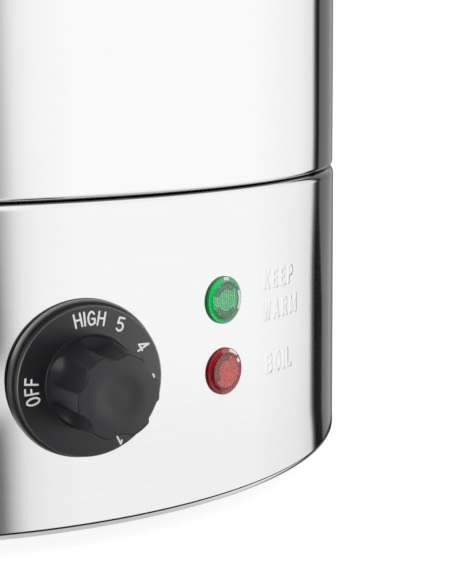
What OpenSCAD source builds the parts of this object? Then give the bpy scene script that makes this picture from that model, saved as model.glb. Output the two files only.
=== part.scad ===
/* [Tank] */
// Outer diameter of the tank
tank_d = 300; // [290:1:310]
// Height of the tank wall above the seam
tank_h = 315; // [300:1:360]
// Thickness of the pressed steel sheet
sheet_t = 0.8; // [0.6:0.1:1]
// Height of the tap's centre above the seam
tap_rise = 42; // [38:1:50]

/* [Base] */
// Height of the base shell, from its bottom edge to the seam
base_h = 101.4; // [98:0.2:110]
// Height of the base shell's bottom edge over the table
foot_h = 8; // [7:0.5:10]
// Distance of each foot from the axis
foot_reach = 110; // [104:1:114]

/* [Controls] */
// Angle of the control knob to the right of the tap
panel_turn = 29; // [28:1:36]
// Angle of the two lamps to the right of the knob
lamp_turn = 19.9; // [19:0.1:21]
// Distance of the knob's centre below the seam
knob_drop = 53.4; // [50:0.1:58]
// Diameter of the knob's dial
knob_d = 45.6; // [43:0.2:48]
// Distance of the upper lamp below the seam
upper_lamp_drop = 35.3; // [33:0.1:37]
// Distance of the lower lamp below the seam
lower_lamp_drop = 58.4; // [56:0.1:60]
// Diameter of a lamp lens's flange
lens_d = 15.2; // [14.8:0.1:16.5]

/* [Handles] */
// Distance of the handles' centre below the rim
handle_drop = 62; // [55:1:80]
// Diameter of the handle's bar
grip_d = 17; // [15:0.5:19]
// Distance between the middles of a handle's two posts
grip_span = 92; // [84:1:100]
// Distance of the bar's middle from the tank wall
grip_reach = 40; // [37:1:44]

/* [Hidden] */
$fn = 96;
wall_fn = 360;

// Play of a screw or bush in its hole, and the overlap that joins two solids into one
hole_gap = 0.1;
bond = 0.01;

// Tank and base outlines
tank_r = tank_d / 2;
tank_in_r = tank_r - sheet_t;
seam_z = foot_h + base_h;
rim_z = seam_z + tank_h;
curl_r = 2.5;
seam_gap = 0.1;
tank_low_z = seam_z + seam_gap / 2;
base_r = tank_r + 0.35;
base_in_r = base_r - sheet_t;
shoulder_r = 3;
neck_r = base_r - shoulder_r;
neck_top_z = seam_z + 9;
shoulder_z = seam_z - seam_gap / 2;
hem_r = 2.8;
hem_in_r = 139;
bead_r = 2.6;

// Tank floor
floor_t = 1;
floor_z = seam_z + 14;
floor_edge_r = 4;
floor_r = tank_in_r;

// Base plate, rods and feet
plate_r = 144;
plate_t = 1.2;
plate_z = foot_h - plate_t;
rod_r = 3;
rod_reach = 104;
rod_low_z = 2.4;
rod_turns = [0, 120, 240];
foot_turns = [45, 135, 225, 315];
foot_r = 14;
foot_screw_r = 2;
foot_screw_z = 2.6;

// Knob and thermostat, measured outward from the axis
knob_r = knob_d / 2;
knob_z = seam_z - knob_drop;
knob_back = base_r + 0.5;
knob_rim_r = knob_r + 1.3;
knob_rim_front = base_r + 2.6;
dial_front = base_r + 6.2;
knob_front = base_r + 28;
shaft_r = 3;
shaft_fit = 0.05;
bracket_u = 136;
bracket_t = 1.2;
bracket_half = 30;
bracket_tall = 38;
bracket_screw_x = 14;
bush_r = 5;

// Lamps, measured outward from the axis
lens_r = lens_d / 2;
lens_flange_t = 0.8;
lens_cap_r = 6.2;
lens_cap_front = base_r + 2;
lens_barrel_r = 5.9;
lamp_drops = [upper_lamp_drop, lower_lamp_drop];
lamp_az = panel_turn + lamp_turn;

// Heating element
element_r = 4;
element_ring_r = 92;
element_z = floor_z + 24;
element_bend_r = 13;
element_end = 25;
leg_x = element_ring_r * sin(element_end) - element_bend_r * cos(element_end);
leg_y = element_ring_r * cos(element_end) + element_bend_r * sin(element_end);
leg_low_z = floor_z - 22;

// Boil-dry cut-out and terminal block on the base plate
cutout_x = -62;
cutout_y = 30;
button_r = 4;
cutout_neck_r = 6;
block_x = 42;
block_y = 38;

// Probes under the tank floor
probe_r = 3.2;
probe_len = 72;
probe_z = floor_z - floor_t - 0.3 - probe_r;
knob_probe_y = -44;
cutout_probe_y = -8;

// Inlet at the rear
inlet_z = 52;
inlet_face = tank_r + 4;
inlet_w = 24.6;
inlet_h = 16.8;
inlet_screw_x = 20;
inlet_screw_r = 1.7;
inlet_flange_t = 3;
inlet_open_w = 31;
inlet_open_h = 23;
pin_w = 2;
pin_h = 4;
pin_xs = [-7, 0, 7];
pin_dz = [-1.4, 2.4, -1.4];

// Tap, measured outward from the axis and up from the tap's centre
tap_z = seam_z + tap_rise;
shank_r = 8;
tap_flange_u = tank_r + 2;
chamber_u = 190;
chamber_r = 13;
chamber_in_r = 9.5;
chamber_low = -20;
chamber_top = 15;
spout_r = 8;
spout_in_r = 5.4;
spout_low = -40;
stem_r = 2.5;
stem_fit = 0.06;
lever_u = 200.5;
lever_up = 34;
fork_reach = lever_u - chamber_u;
fork_r = 1.5;
head_gap = 0.15;
lever_lean = 18;
lever_len = 62;
spring_r = 6;
spring_wire = 0.6;
spring_low = -11.4;
spring_top = 13.5;

// Water gauge above the tap
gauge_u = 166;
gauge_r = 5;
gauge_in_r = 3.5;
gauge_socket_r = 8;
gauge_low_z = tap_z + 4;
gauge_top_z = rim_z - 26;
guard_r = 9.2;
guard_t = 1;
guard_low_z = tap_z + 30;
guard_top_z = gauge_top_z - 4;
boss_zs = [guard_low_z + 10, guard_top_z - 10];

// Handles
handle_z = rim_z - handle_drop;
grip_r = grip_d / 2;
grip_u = tank_r + grip_reach;
grip_bend_r = 17;
handle_plate_t = 1.2;
handle_foot_u = tank_r + handle_plate_t + 7;
handle_screw_dz = 17;
handle_screw_r = 1.55;

// Lid
lid_t = 0.8;
lid_gap = 0.3;
lid_land_z = rim_z + bead_r + lid_gap;
lid_plug_r = tank_in_r - 1.6;
lid_edge_r = 157;
lid_rise = 16;
lid_plug_drop = 9;
lid_knob_r = 21;
lid_riser = 4;
lid_top_z = lid_land_z + lid_riser + lid_rise;
lid_screw_r = 2.45;

// ---------- helpers ----------

// Place children on the outside, facing outward, at an angle to the right of the tap:
// their +Z points outward from the axis and their +Y points up
module facing(turn, z) {
    rotate([0, 0, turn])
        translate([0, 0, z])
            rotate([90, 0, 0])
                children();
}

// A point beside the knob's axis: its distance outward, to the right and up
function panel_point(out, right, up) = [
    out * sin(panel_turn) + right * cos(panel_turn),
    right * sin(panel_turn) - out * cos(panel_turn),
    knob_z + up
];

// A ring's cross-section, between two radii and two heights
module band2d(r_in, r_out, z_low, z_high) {
    translate([r_in, z_low])
        square([r_out - r_in, z_high - z_low]);
}

// A quarter of a bent sheet's cross-section
module bend2d(r_c, z_c, r, t, side, up) {
    translate([r_c, z_c])
        intersection() {
            difference() {
                circle(r);
                circle(r - t);
            }
            translate([side > 0 ? 0 : -r, up > 0 ? 0 : -r])
                square(r);
        }
}

module tube(r_out, r_in, low, high) {
    translate([0, 0, low])
        difference() {
            cylinder(h = high - low, r = r_out);
            translate([0, 0, -1])
                cylinder(h = high - low + 2, r = r_in);
        }
}

module hexagon_nut(across, height, hole_r) {
    difference() {
        cylinder(h = height, r = across / 2 / cos(30), $fn = 6);
        translate([0, 0, -1])
            cylinder(h = height + 2, r = hole_r);
    }
}

// A screw along Z: its shank reaches down from the underside of its head at 0
module pan_screw(r, length, head_r, head_h) {
    translate([0, 0, -length])
        cylinder(h = length + bond, r = r);
    difference() {
        cylinder(h = head_h, r1 = head_r, r2 = head_r * 0.82);
        translate([-head_r, -0.4, head_h - 0.7])
            cube([head_r * 2, 0.8, 1]);
        translate([-0.4, -head_r, head_h - 0.7])
            cube([0.8, head_r * 2, 1]);
    }
}

// Direction of a route at point i, from its neighbours
function route_dir(p, i) =
    let (a = p[max(i - 1, 0)], b = p[min(i + 1, len(p) - 1)], d = b - a)
    d / norm(d);

function unit(v) = v / norm(v);

// Sideways vectors along a route, each carried over from the one before so that none flips
function sides_along(p, u, i = 0) = i == len(p) ? [] :
    let (d = route_dir(p, i), w = unit(u - (u * d) * d))
    concat([w], sides_along(p, w, i + 1));

function first_side(d) = unit(cross(d, abs(d[2]) < 0.9 ? [0, 0, 1] : [1, 0, 0]));

// One closed tube swept along a list of points
module swept(p, r, sides = 8) {
    n = len(p);
    us = sides_along(p, first_side(route_dir(p, 0)));
    rings = [for (i = [0 : n - 1])
        let (u = us[i], v = cross(route_dir(p, i), u))
        for (k = [0 : sides - 1])
            let (a = 360 * k / sides)
            p[i] + r * cos(a) * u + r * sin(a) * v];
    walls = [for (i = [0 : n - 2])
        for (k = [0 : sides - 1])
            let (k2 = (k + 1) % sides)
            [i * sides + k, (i + 1) * sides + k, (i + 1) * sides + k2, i * sides + k2]];
    low_cap = [for (k = [0 : sides - 1]) k];
    high_cap = [for (k = [sides - 1 : -1 : 0]) (n - 1) * sides + k];
    polyhedron(rings, concat([low_cap], walls, [high_cap]), convexity = 8);
}

// A smooth route through hand-placed points
function eased(p, steps = 4) = concat(
    [for (i = [0 : len(p) - 2])
        let (a = p[max(i - 1, 0)], b = p[i], c = p[i + 1], d = p[min(i + 2, len(p) - 1)])
        for (s = [0 : steps - 1])
            let (t = s / steps)
            0.5 * (2 * b + (c - a) * t + (2 * a - 5 * b + 4 * c - d) * t * t
                + (3 * b - 3 * c + d - a) * t * t * t)],
    [p[len(p) - 1]]);

// ---------- tank ----------

module tank_shell() {
    color("gainsboro")
        difference() {
            rotate_extrude() {
                band2d(tank_in_r, tank_r, tank_low_z + curl_r, rim_z);
                bend2d(tank_r - curl_r, tank_low_z + curl_r, curl_r, sheet_t, 1, -1);
                bend2d(tank_in_r + bead_r, rim_z, bead_r, sheet_t, -1, 1);
                bend2d(tank_in_r + bead_r, rim_z, bead_r, sheet_t, 1, 1);
                bend2d(tank_in_r + bead_r, rim_z, bead_r, sheet_t, 1, -1);
            }
            facing(0, tap_z)
                translate([0, 0, tank_r - 5])
                    cylinder(h = 10, r = shank_r + 0.1);
        }
}

module tank_floor() {
    color("silver")
        difference() {
            rotate_extrude() {
                band2d(0, floor_r - floor_edge_r, floor_z - floor_t, floor_z);
                bend2d(floor_r - floor_edge_r, floor_z - floor_edge_r, floor_edge_r, floor_t, 1, 1);
                band2d(floor_r - floor_t, floor_r, seam_z + 4, floor_z - floor_edge_r);
            }
            for (side = [-1, 1])
                translate([side * leg_x, leg_y, floor_z - 5])
                    cylinder(h = 10, r = 7.1);
        }
}

// Three welded rods that pull the base plate up and clamp the base shell to the tank
module tie_rods() {
    color("silver")
        for (turn = rod_turns)
            rotate([0, 0, turn])
                translate([0, -rod_reach, rod_low_z])
                    cylinder(h = floor_z - floor_t - rod_low_z, r = rod_r);
}

module tie_nuts() {
    color("lightgray")
        for (turn = rod_turns)
            rotate([0, 0, turn])
                translate([0, -rod_reach, plate_z - 4.2])
                    hexagon_nut(10, 4.2, rod_r);
}

// ---------- base ----------

module base_shell() {
    shaft_hole_r = 5;
    color("lightgray")
        difference() {
            rotate_extrude() {
                band2d(neck_r - sheet_t, neck_r, shoulder_z - sheet_t, neck_top_z);
                bend2d(base_r - shoulder_r, shoulder_z - shoulder_r, shoulder_r, sheet_t, 1, 1);
                band2d(base_in_r, base_r, foot_h + hem_r, shoulder_z - shoulder_r);
                bend2d(base_r - hem_r, foot_h + hem_r, hem_r, sheet_t, 1, -1);
                band2d(hem_in_r, base_r - hem_r, foot_h, foot_h + sheet_t);
            }
            facing(panel_turn, knob_z)
                translate([0, 0, base_r - 6])
                    cylinder(h = 12, r = shaft_hole_r);
            for (drop = lamp_drops)
                facing(lamp_az, seam_z - drop)
                    translate([0, 0, base_r - 6])
                        cylinder(h = 12, r = lens_barrel_r + hole_gap);
            translate([-inlet_open_w / 2, base_r - 12, inlet_z - inlet_open_h / 2])
                cube([inlet_open_w, 24, inlet_open_h]);
            for (side = [-1, 1])
                translate([side * inlet_screw_x, base_r - 12, inlet_z])
                    rotate([-90, 0, 0])
                        cylinder(h = 24, r = inlet_screw_r + hole_gap);
        }
}

module base_plate() {
    slot_w = 3.2;
    slot_len = 22;
    slot_step = 11;
    slot_y = 16;
    slot_rows = [-3 : 3];
    color("darkgray")
        difference() {
            translate([0, 0, plate_z])
                cylinder(h = plate_t, r = plate_r);
            for (turn = rod_turns)
                rotate([0, 0, turn])
                    translate([0, -rod_reach, plate_z - 1])
                        cylinder(h = 4, r = rod_r + 0.3);
            for (turn = foot_turns)
                rotate([0, 0, turn])
                    translate([0, -foot_reach, plate_z - 1])
                        cylinder(h = 4, r = foot_screw_r);
            translate([cutout_x, cutout_y, plate_z - 1])
                cylinder(h = 4, r = cutout_neck_r + hole_gap);
            for (side = [-1, 1])
                for (row = slot_rows)
                    translate([row * slot_step - slot_w / 2, side * slot_y - slot_len / 2, plate_z - 1])
                        cube([slot_w, slot_len, 4]);
        }
}

module feet() {
    color([0.08, 0.08, 0.08])
        for (turn = foot_turns)
            rotate([0, 0, turn])
                translate([0, -foot_reach, 0])
                    difference() {
                        cylinder(h = plate_z, r1 = foot_r - 1.5, r2 = foot_r);
                        translate([0, 0, -1])
                            cylinder(h = plate_z + 2, r = foot_screw_r + hole_gap / 2);
                        translate([0, 0, -1])
                            cylinder(h = foot_screw_z + 1, r = 4.6);
                    }
}

module foot_screws() {
    color("silver")
        for (turn = foot_turns)
            rotate([0, 0, turn])
                translate([0, -foot_reach, foot_screw_z])
                    mirror([0, 0, 1])
                        pan_screw(foot_screw_r, 9, 4, 1.8);
}

// ---------- knob and thermostat ----------

module control_knob() {
    flutes = 6;
    flute_r = 6.8;
    flute_in_r = 11.1;
    flute_turn = 93.4;
    flute_start = 7;
    grip_r_low = 14.1;
    grip_r_top = 12.6;
    dish_r = 8.5;
    dish_h = 0.8;
    dish_ball_r = (dish_r * dish_r + dish_h * dish_h) / (2 * dish_h);
    rim_edge = 0.7;
    dial_edge = 0.4;
    waist_r = knob_r - 0.8;
    waist_front = knob_rim_front + 0.8;
    bore_len = 16;
    color([0.07, 0.07, 0.08])
        facing(panel_turn, knob_z)
            difference() {
                rotate_extrude()
                    polygon([
                        [0, knob_back],
                        [knob_rim_r - rim_edge, knob_back],
                        [knob_rim_r, knob_back + rim_edge],
                        [knob_rim_r, knob_rim_front - rim_edge],
                        [knob_rim_r - rim_edge, knob_rim_front],
                        [waist_r, knob_rim_front],
                        [waist_r, waist_front],
                        [knob_r, waist_front],
                        [knob_r, dial_front - dial_edge],
                        [knob_r - dial_edge, dial_front],
                        [grip_r_low, dial_front],
                        [grip_r_top, knob_front],
                        [0, knob_front]
                    ]);
                for (i = [0 : flutes - 1])
                    rotate([0, 0, flute_turn + i * 360 / flutes])
                        translate([flute_in_r + flute_r, 0, dial_front + flute_start]) {
                            cylinder(h = knob_front - dial_front, r = flute_r);
                            sphere(r = flute_r);
                        }
                translate([0, 0, knob_front - dish_h + dish_ball_r])
                    sphere(r = dish_ball_r);
                translate([0, 0, knob_back - 1])
                    cylinder(h = bore_len + 1, r = shaft_r + shaft_fit);
            }
}

module thermostat_shaft() {
    color("silver")
        facing(panel_turn, knob_z)
            difference() {
                translate([0, 0, bracket_u - 12])
                    cylinder(h = knob_back + 15.5 - bracket_u + 12, r = shaft_r);
                translate([shaft_r - 1.4, -5, knob_back + 4])
                    cube([5, 10, 20]);
            }
}

module thermostat_body() {
    color([0.86, 0.82, 0.72])
        facing(panel_turn, knob_z)
            difference() {
                union() {
                    translate([-20, -17, bracket_u - 26])
                        cube([40, 34, 26]);
                    translate([0, 0, bracket_u])
                        cylinder(h = 8, r = bush_r);
                    for (x = [-12, 0, 12])
                        translate([x - 3.2, -12, bracket_u - 34])
                            cube([6.4, 0.8, 9]);
                }
                translate([0, 0, bracket_u - 13])
                    cylinder(h = 30, r = shaft_r + shaft_fit);
                for (side = [-1, 1])
                    translate([side * bracket_screw_x, 0, bracket_u - 8])
                        cylinder(h = 9, r = 2);
            }
}

// A bent plate whose two wings are spot-welded to the inside of the base shell
module thermostat_bracket() {
    color("darkgray")
        intersection() {
            facing(panel_turn, knob_z)
                difference() {
                    union() {
                        translate([-bracket_half, -bracket_tall / 2, bracket_u])
                            cube([bracket_half * 2, bracket_tall, bracket_t]);
                        for (x = [-bracket_half, bracket_half - bracket_t])
                            translate([x, -bracket_tall / 2, bracket_u])
                                cube([bracket_t, bracket_tall, 14]);
                    }
                    translate([0, 0, bracket_u - 1])
                        cylinder(h = 4, r = bush_r + hole_gap);
                    for (side = [-1, 1])
                        translate([side * bracket_screw_x, 0, bracket_u - 1])
                            cylinder(h = 4, r = 2 + hole_gap);
                }
            cylinder(h = seam_z, r = base_in_r - 0.02, $fn = wall_fn);
        }
}

module thermostat_screws() {
    color("silver")
        facing(panel_turn, knob_z)
            for (side = [-1, 1])
                translate([side * bracket_screw_x, 0, bracket_u + bracket_t])
                    pan_screw(2, 8, 3.6, 2.4);
}

// A straight bulb under the tank floor and its thin tube down to a switch
module probe(route, bulb_x, bulb_y) {
    swept(eased(route, 3), 1, 8);
    translate([bulb_x, bulb_y, probe_z])
        rotate([0, 90, 0])
            cylinder(h = probe_len, r = probe_r);
}

module thermostat_probe() {
    route = [[36.2, knob_probe_y, probe_z], [44, knob_probe_y, probe_z], [52, -52, 110],
        [54, -66, 96], [50, -80, 84], panel_point(103.6, 1.4, 11.3), panel_point(108.1, 0, 5.3)];
    color([0.75, 0.45, 0.3])
        probe(route, -36, knob_probe_y);
}

module cutout_probe() {
    route = [[-36.2, cutout_probe_y, probe_z], [-44, cutout_probe_y, probe_z], [-54, 0, 106],
        [-60, 14, 84], [-62, 24, 58], [cutout_x, cutout_y, 44], [cutout_x, cutout_y, 36.2]];
    color([0.75, 0.45, 0.3])
        probe(route, -36, cutout_probe_y);
}

// Spring-steel straps that hold the two bulbs to the tank floor
module probe_clips() {
    strap_w = 10;
    strap_t = 0.8;
    in_r = probe_r + 0.1;
    out_r = in_r + strap_t;
    under_z = floor_z - floor_t;
    color("silver")
        for (y = [knob_probe_y, cutout_probe_y])
            for (x = [-20, 14])
                translate([x, y, 0])
                    rotate([90, 0, 90])
                        linear_extrude(strap_w)
                            difference() {
                                union() {
                                    translate([0, probe_z])
                                        circle(out_r);
                                    translate([-out_r, probe_z])
                                        square([out_r * 2, under_z - probe_z]);
                                    translate([-9, under_z - strap_t])
                                        square([18, strap_t]);
                                }
                                translate([0, probe_z])
                                    circle(in_r);
                                translate([-in_r, probe_z])
                                    square([in_r * 2, 8]);
                            }
}

// ---------- lamps ----------

module lamp_lens(drop, tint) {
    barrel_in = 138;
    color(tint)
        facing(lamp_az, seam_z - drop)
            difference() {
                union() {
                    translate([0, 0, base_r])
                        cylinder(h = lens_flange_t, r = lens_r);
                    translate([0, 0, base_r + lens_flange_t])
                        cylinder(h = lens_cap_front - base_r - lens_flange_t - 0.3, r = lens_cap_r);
                    translate([0, 0, lens_cap_front - 0.3])
                        cylinder(h = 0.3, r1 = lens_cap_r, r2 = lens_cap_r - 0.3);
                    translate([0, 0, barrel_in])
                        cylinder(h = base_r - barrel_in + bond, r = lens_barrel_r);
                }
                translate([0, 0, barrel_in - 1])
                    cylinder(h = base_r + 1 - barrel_in, r = 4.7);
            }
}

module lamp_lens_upper() {
    lamp_lens(upper_lamp_drop, [0.1, 0.5, 0.3, 0.6]);
}

module lamp_lens_lower() {
    lamp_lens(lower_lamp_drop, [0.8, 0.08, 0.05, 0.6]);
}

module lamp_holders() {
    color([0.1, 0.1, 0.1])
        for (drop = lamp_drops)
            facing(lamp_az, seam_z - drop)
                difference() {
                    translate([0, 0, 130])
                        cylinder(h = 7.9, r = 6.6);
                    for (side = [-1, 1])
                        translate([side * 2.2, 0, 129])
                            cylinder(h = 10, r = 0.9);
                }
}

module lamp_clips() {
    color("silver")
        for (drop = lamp_drops)
            facing(lamp_az, seam_z - drop)
                tube(9, lens_barrel_r + 0.05, base_in_r - 1.3, base_in_r - 0.6);
}

module neon_lamps() {
    color([1, 0.8, 0.6, 0.5])
        for (drop = lamp_drops)
            facing(lamp_az, seam_z - drop) {
                translate([0, 0, 138])
                    cylinder(h = 8, r = 3);
                translate([0, 0, 146])
                    sphere(r = 3);
            }
}

// ---------- heating element ----------

module heating_element() {
    steps = 6;
    ring_steps = 52;
    end_a = 90 - element_end;
    bend_a = end_a + 90;
    bend_x = element_ring_r * cos(end_a);
    bend_y = element_ring_r * sin(end_a);
    right_bend = [for (i = [0 : steps])
        let (t = 90 * i / steps)
        [bend_x + element_bend_r * cos(bend_a) * cos(t),
            bend_y + element_bend_r * sin(bend_a) * cos(t),
            element_z - element_bend_r * (1 - sin(t))]];
    ring = [for (i = [1 : ring_steps - 1])
        let (a = end_a - (360 - 2 * element_end) * i / ring_steps)
        [element_ring_r * cos(a), element_ring_r * sin(a), element_z]];
    left_bend = [for (i = [steps : -1 : 0])
        [-right_bend[i][0], right_bend[i][1], right_bend[i][2]]];
    color([0.6, 0.58, 0.55])
        swept(concat([[leg_x, leg_y, leg_low_z]], right_bend, ring, left_bend,
            [[-leg_x, leg_y, leg_low_z]]), element_r, 10);
}

// Threaded bushes brazed on the element's legs, and its two contact pins
module element_glands() {
    color([0.8, 0.65, 0.3])
        for (side = [-1, 1])
            translate([side * leg_x, leg_y, 0]) {
                tube(10.5, element_r + 0.02, floor_z + 1, floor_z + 4);
                tube(7, element_r + 0.02, floor_z - 15, floor_z + 1);
                translate([0, 0, leg_low_z - 9])
                    cylinder(h = 8.99, r = 1.5);
            }
}

module element_gaskets() {
    color([0.7, 0.25, 0.15])
        for (side = [-1, 1])
            translate([side * leg_x, leg_y, 0])
                tube(10, 7.05, floor_z, floor_z + 1);
}

module element_nuts() {
    color([0.8, 0.65, 0.3])
        for (side = [-1, 1])
            translate([side * leg_x, leg_y, floor_z - floor_t - 5])
                hexagon_nut(19, 5, 7.02);
}

// ---------- boil-dry cut-out ----------

module cutout_body() {
    color([0.12, 0.12, 0.13])
        translate([cutout_x, cutout_y, 0])
            difference() {
                union() {
                    translate([-16, -13, foot_h])
                        cube([32, 26, 28]);
                    translate([0, 0, plate_z - 3.6])
                        cylinder(h = foot_h - plate_z + 3.6 + bond, r = cutout_neck_r);
                    for (side = [-1, 1])
                        translate([side * 9 - 3.2, 12.9, 16])
                            cube([6.4, 9, 0.8]);
                }
                translate([0, 0, -1])
                    cylinder(h = 20, r = button_r + 0.2);
            }
}

module cutout_nut() {
    color("silver")
        translate([cutout_x, cutout_y, plate_z - 2.8])
            hexagon_nut(17, 2.8, cutout_neck_r + 0.02);
}

module reset_button() {
    color([0.75, 0.1, 0.08])
        translate([cutout_x, cutout_y, 0]) {
            translate([0, 0, 2.2])
                cylinder(h = 0.8, r1 = button_r - 0.6, r2 = button_r);
            translate([0, 0, 3])
                cylinder(h = 12, r = button_r);
        }
}

// ---------- terminals, wires, earth ----------

module terminal_block() {
    color([0.92, 0.9, 0.84])
        translate([block_x, block_y, foot_h])
            difference() {
                translate([-24, -11, 0])
                    cube([48, 22, 16]);
                for (col = [-16, 0, 16]) {
                    for (row = [-5.5, 5.5])
                        translate([col, row, 8])
                            cylinder(h = 9, r = 3);
                    translate([col, -12, 6])
                        rotate([-90, 0, 0])
                            cylinder(h = 24, r = 2.2);
                }
            }
}

module terminal_screws() {
    color([0.8, 0.65, 0.3])
        translate([block_x, block_y, foot_h + 9.6])
            for (col = [-16, 0, 16])
                for (row = [-5.5, 5.5])
                    translate([col, row, 0])
                        pan_screw(1.6, 1.3, 2.8, 2);
}

module wire(route) {
    swept(eased(route, 3), 1.3, 6);
}

module wiring_loom() {
    block_in_y = block_y + 11.4;
    block_out_y = block_y - 11.4;
    wire_z = foot_h + 6;
    color([0.15, 0.2, 0.5])
        for (col = [-16, 0, 16])
            wire([[block_x + col, block_in_y, wire_z], [block_x + col, 60, wire_z + 1],
                [block_x * 0.8 + col * 0.8, 84, 22], [12 + col * 0.6, 104, 36],
                [col * 0.45, 118, 50], [col * 0.45, 127.6, inlet_z]]);
    color([0.6, 0.1, 0.08]) {
        wire([[block_x - 16, block_out_y, wire_z], [26, 14, 22], [40, -30, 26],
            panel_point(80.2, 6.8, -18.7), panel_point(94, -1.2, -13.7),
            panel_point(99.9, 1.4, -12.1)]);
        wire([[block_x, block_out_y, wire_z], [37, 11, 12.5], [0, 2, 12.5],
            [-34, 50, 20], [-48, 66, 18], [-53, 58, 17.4], [-53, 52.4, 17]]);
        wire([[-71, 52.4, 17], [-72, 60, 18], [-66, 78, 40], [-44, 90, 70], [-leg_x, leg_y, 82],
            [-leg_x, leg_y, leg_low_z - 9.6]]);
        wire([panel_point(100, 13.3, -12.7), panel_point(92.6, 20.4, -10.7), [66, -20, 50],
            [60, 50, 62], [leg_x, leg_y, 78], [leg_x, leg_y, leg_low_z - 9.6]]);
    }
    color([0.2, 0.45, 0.2])
        wire([[block_x + 16, block_out_y, wire_z], [62, 16, 20], [74, 10, 60], [70, 4, 92],
            [70, 4, floor_z - 11.2]]);
}

module earth_stud() {
    color([0.8, 0.65, 0.3])
        translate([70, 4, 0]) {
            translate([0, 0, floor_z - floor_t - 9])
                cylinder(h = 9, r = 2.5);
            translate([0, 0, floor_z - floor_t - 6])
                cylinder(h = 4, r = 4.6, $fn = 6);
        }
}

// ---------- inlet ----------

module inlet_bezel() {
    color([0.1, 0.1, 0.1])
        difference() {
            translate([-30, tank_r - 6, inlet_z - 17])
                cube([60, inlet_face - tank_r + 6, 34]);
            cylinder(h = seam_z, r = base_r + 0.02, $fn = wall_fn);
            translate([-inlet_open_w / 2, 100, inlet_z - inlet_open_h / 2])
                cube([inlet_open_w, 100, inlet_open_h]);
            for (side = [-1, 1])
                translate([side * inlet_screw_x, 130, inlet_z])
                    rotate([-90, 0, 0])
                        cylinder(h = 40, r = inlet_screw_r);
        }
}

module inlet_socket() {
    color([0.06, 0.06, 0.06])
        difference() {
            union() {
                translate([-26, inlet_face, inlet_z - 14])
                    cube([52, inlet_flange_t, 28]);
                translate([-15, inlet_face - 24, inlet_z - 11])
                    cube([30, 24 + bond, 22]);
            }
            translate([-inlet_w / 2, inlet_face - 15, inlet_z - inlet_h / 2])
                cube([inlet_w, 30, inlet_h]);
            for (i = [0 : 2])
                translate([pin_xs[i] - pin_w / 2, 100, inlet_z - pin_h / 2 + pin_dz[i]])
                    cube([pin_w, 80, pin_h]);
            for (side = [-1, 1])
                translate([side * inlet_screw_x, 130, inlet_z])
                    rotate([-90, 0, 0])
                        cylinder(h = 40, r = inlet_screw_r + hole_gap);
        }
}

module inlet_pins() {
    pin_root = 128;
    color([0.8, 0.78, 0.72])
        for (i = [0 : 2])
            translate([pin_xs[i] - pin_w / 2, pin_root, inlet_z - pin_h / 2 + pin_dz[i]])
                cube([pin_w, inlet_face - 4 - pin_root, pin_h]);
}

module inlet_screws() {
    color("silver")
        for (side = [-1, 1])
            translate([side * inlet_screw_x, inlet_face + inlet_flange_t, inlet_z])
                rotate([-90, 0, 0])
                    pan_screw(inlet_screw_r, 16, 3.2, 2);
}

// ---------- tap ----------

// Place children on a vertical axis in front of the tank, their Z counted from the tap's centre
module at_tap(u) {
    translate([0, -u, tap_z])
        children();
}

module tap_body() {
    color("silver")
        difference() {
            union() {
                facing(0, tap_z) {
                    translate([0, 0, tank_r - 14])
                        cylinder(h = 16 + bond, r = shank_r);
                    translate([0, 0, tap_flange_u])
                        cylinder(h = 4, r = 15);
                    translate([0, 0, tap_flange_u])
                        cylinder(h = chamber_u - tap_flange_u, r = 9.5);
                }
                at_tap(chamber_u) {
                    translate([0, 0, chamber_low])
                        cylinder(h = chamber_top - chamber_low, r = chamber_r);
                    translate([0, 0, chamber_low - 8])
                        cylinder(h = 8 + bond, r1 = spout_r, r2 = chamber_r);
                    translate([0, 0, spout_low])
                        cylinder(h = chamber_low - spout_low, r = spout_r);
                }
                at_tap(gauge_u)
                    cylinder(h = 20, r = gauge_socket_r);
            }
            facing(0, tap_z)
                translate([0, 0, tank_r - 15])
                    cylinder(h = chamber_u - tank_r + 15, r = 5);
            at_tap(chamber_u) {
                translate([0, 0, chamber_low + 3])
                    cylinder(h = 60, r = chamber_in_r);
                translate([0, 0, spout_low - 1])
                    cylinder(h = 60, r = spout_in_r);
            }
            at_tap(gauge_u) {
                cylinder(h = 30, r = gauge_in_r);
                translate([0, 0, gauge_low_z - tap_z])
                    cylinder(h = 30, r = gauge_r + 0.2);
                translate([0, 0, 14])
                    cylinder(h = 30, r = gauge_r + 1.7);
            }
        }
}

// Silicone rings on both sides of the tank wall, shaped to its curve
module tap_gaskets() {
    color([0.85, 0.85, 0.82]) {
        difference() {
            facing(0, tap_z)
                tube(13, shank_r, tank_r - 3, tap_flange_u);
            cylinder(h = rim_z, r = tank_r, $fn = wall_fn);
        }
        intersection() {
            facing(0, tap_z)
                tube(13, shank_r, tank_in_r - 2.4, tank_r);
            cylinder(h = rim_z, r = tank_in_r, $fn = wall_fn);
        }
    }
}

module tap_back_nut() {
    color("silver")
        facing(0, tap_z)
            translate([0, 0, tank_in_r - 6.4])
                hexagon_nut(24, 4, shank_r + 0.02);
}

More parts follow.
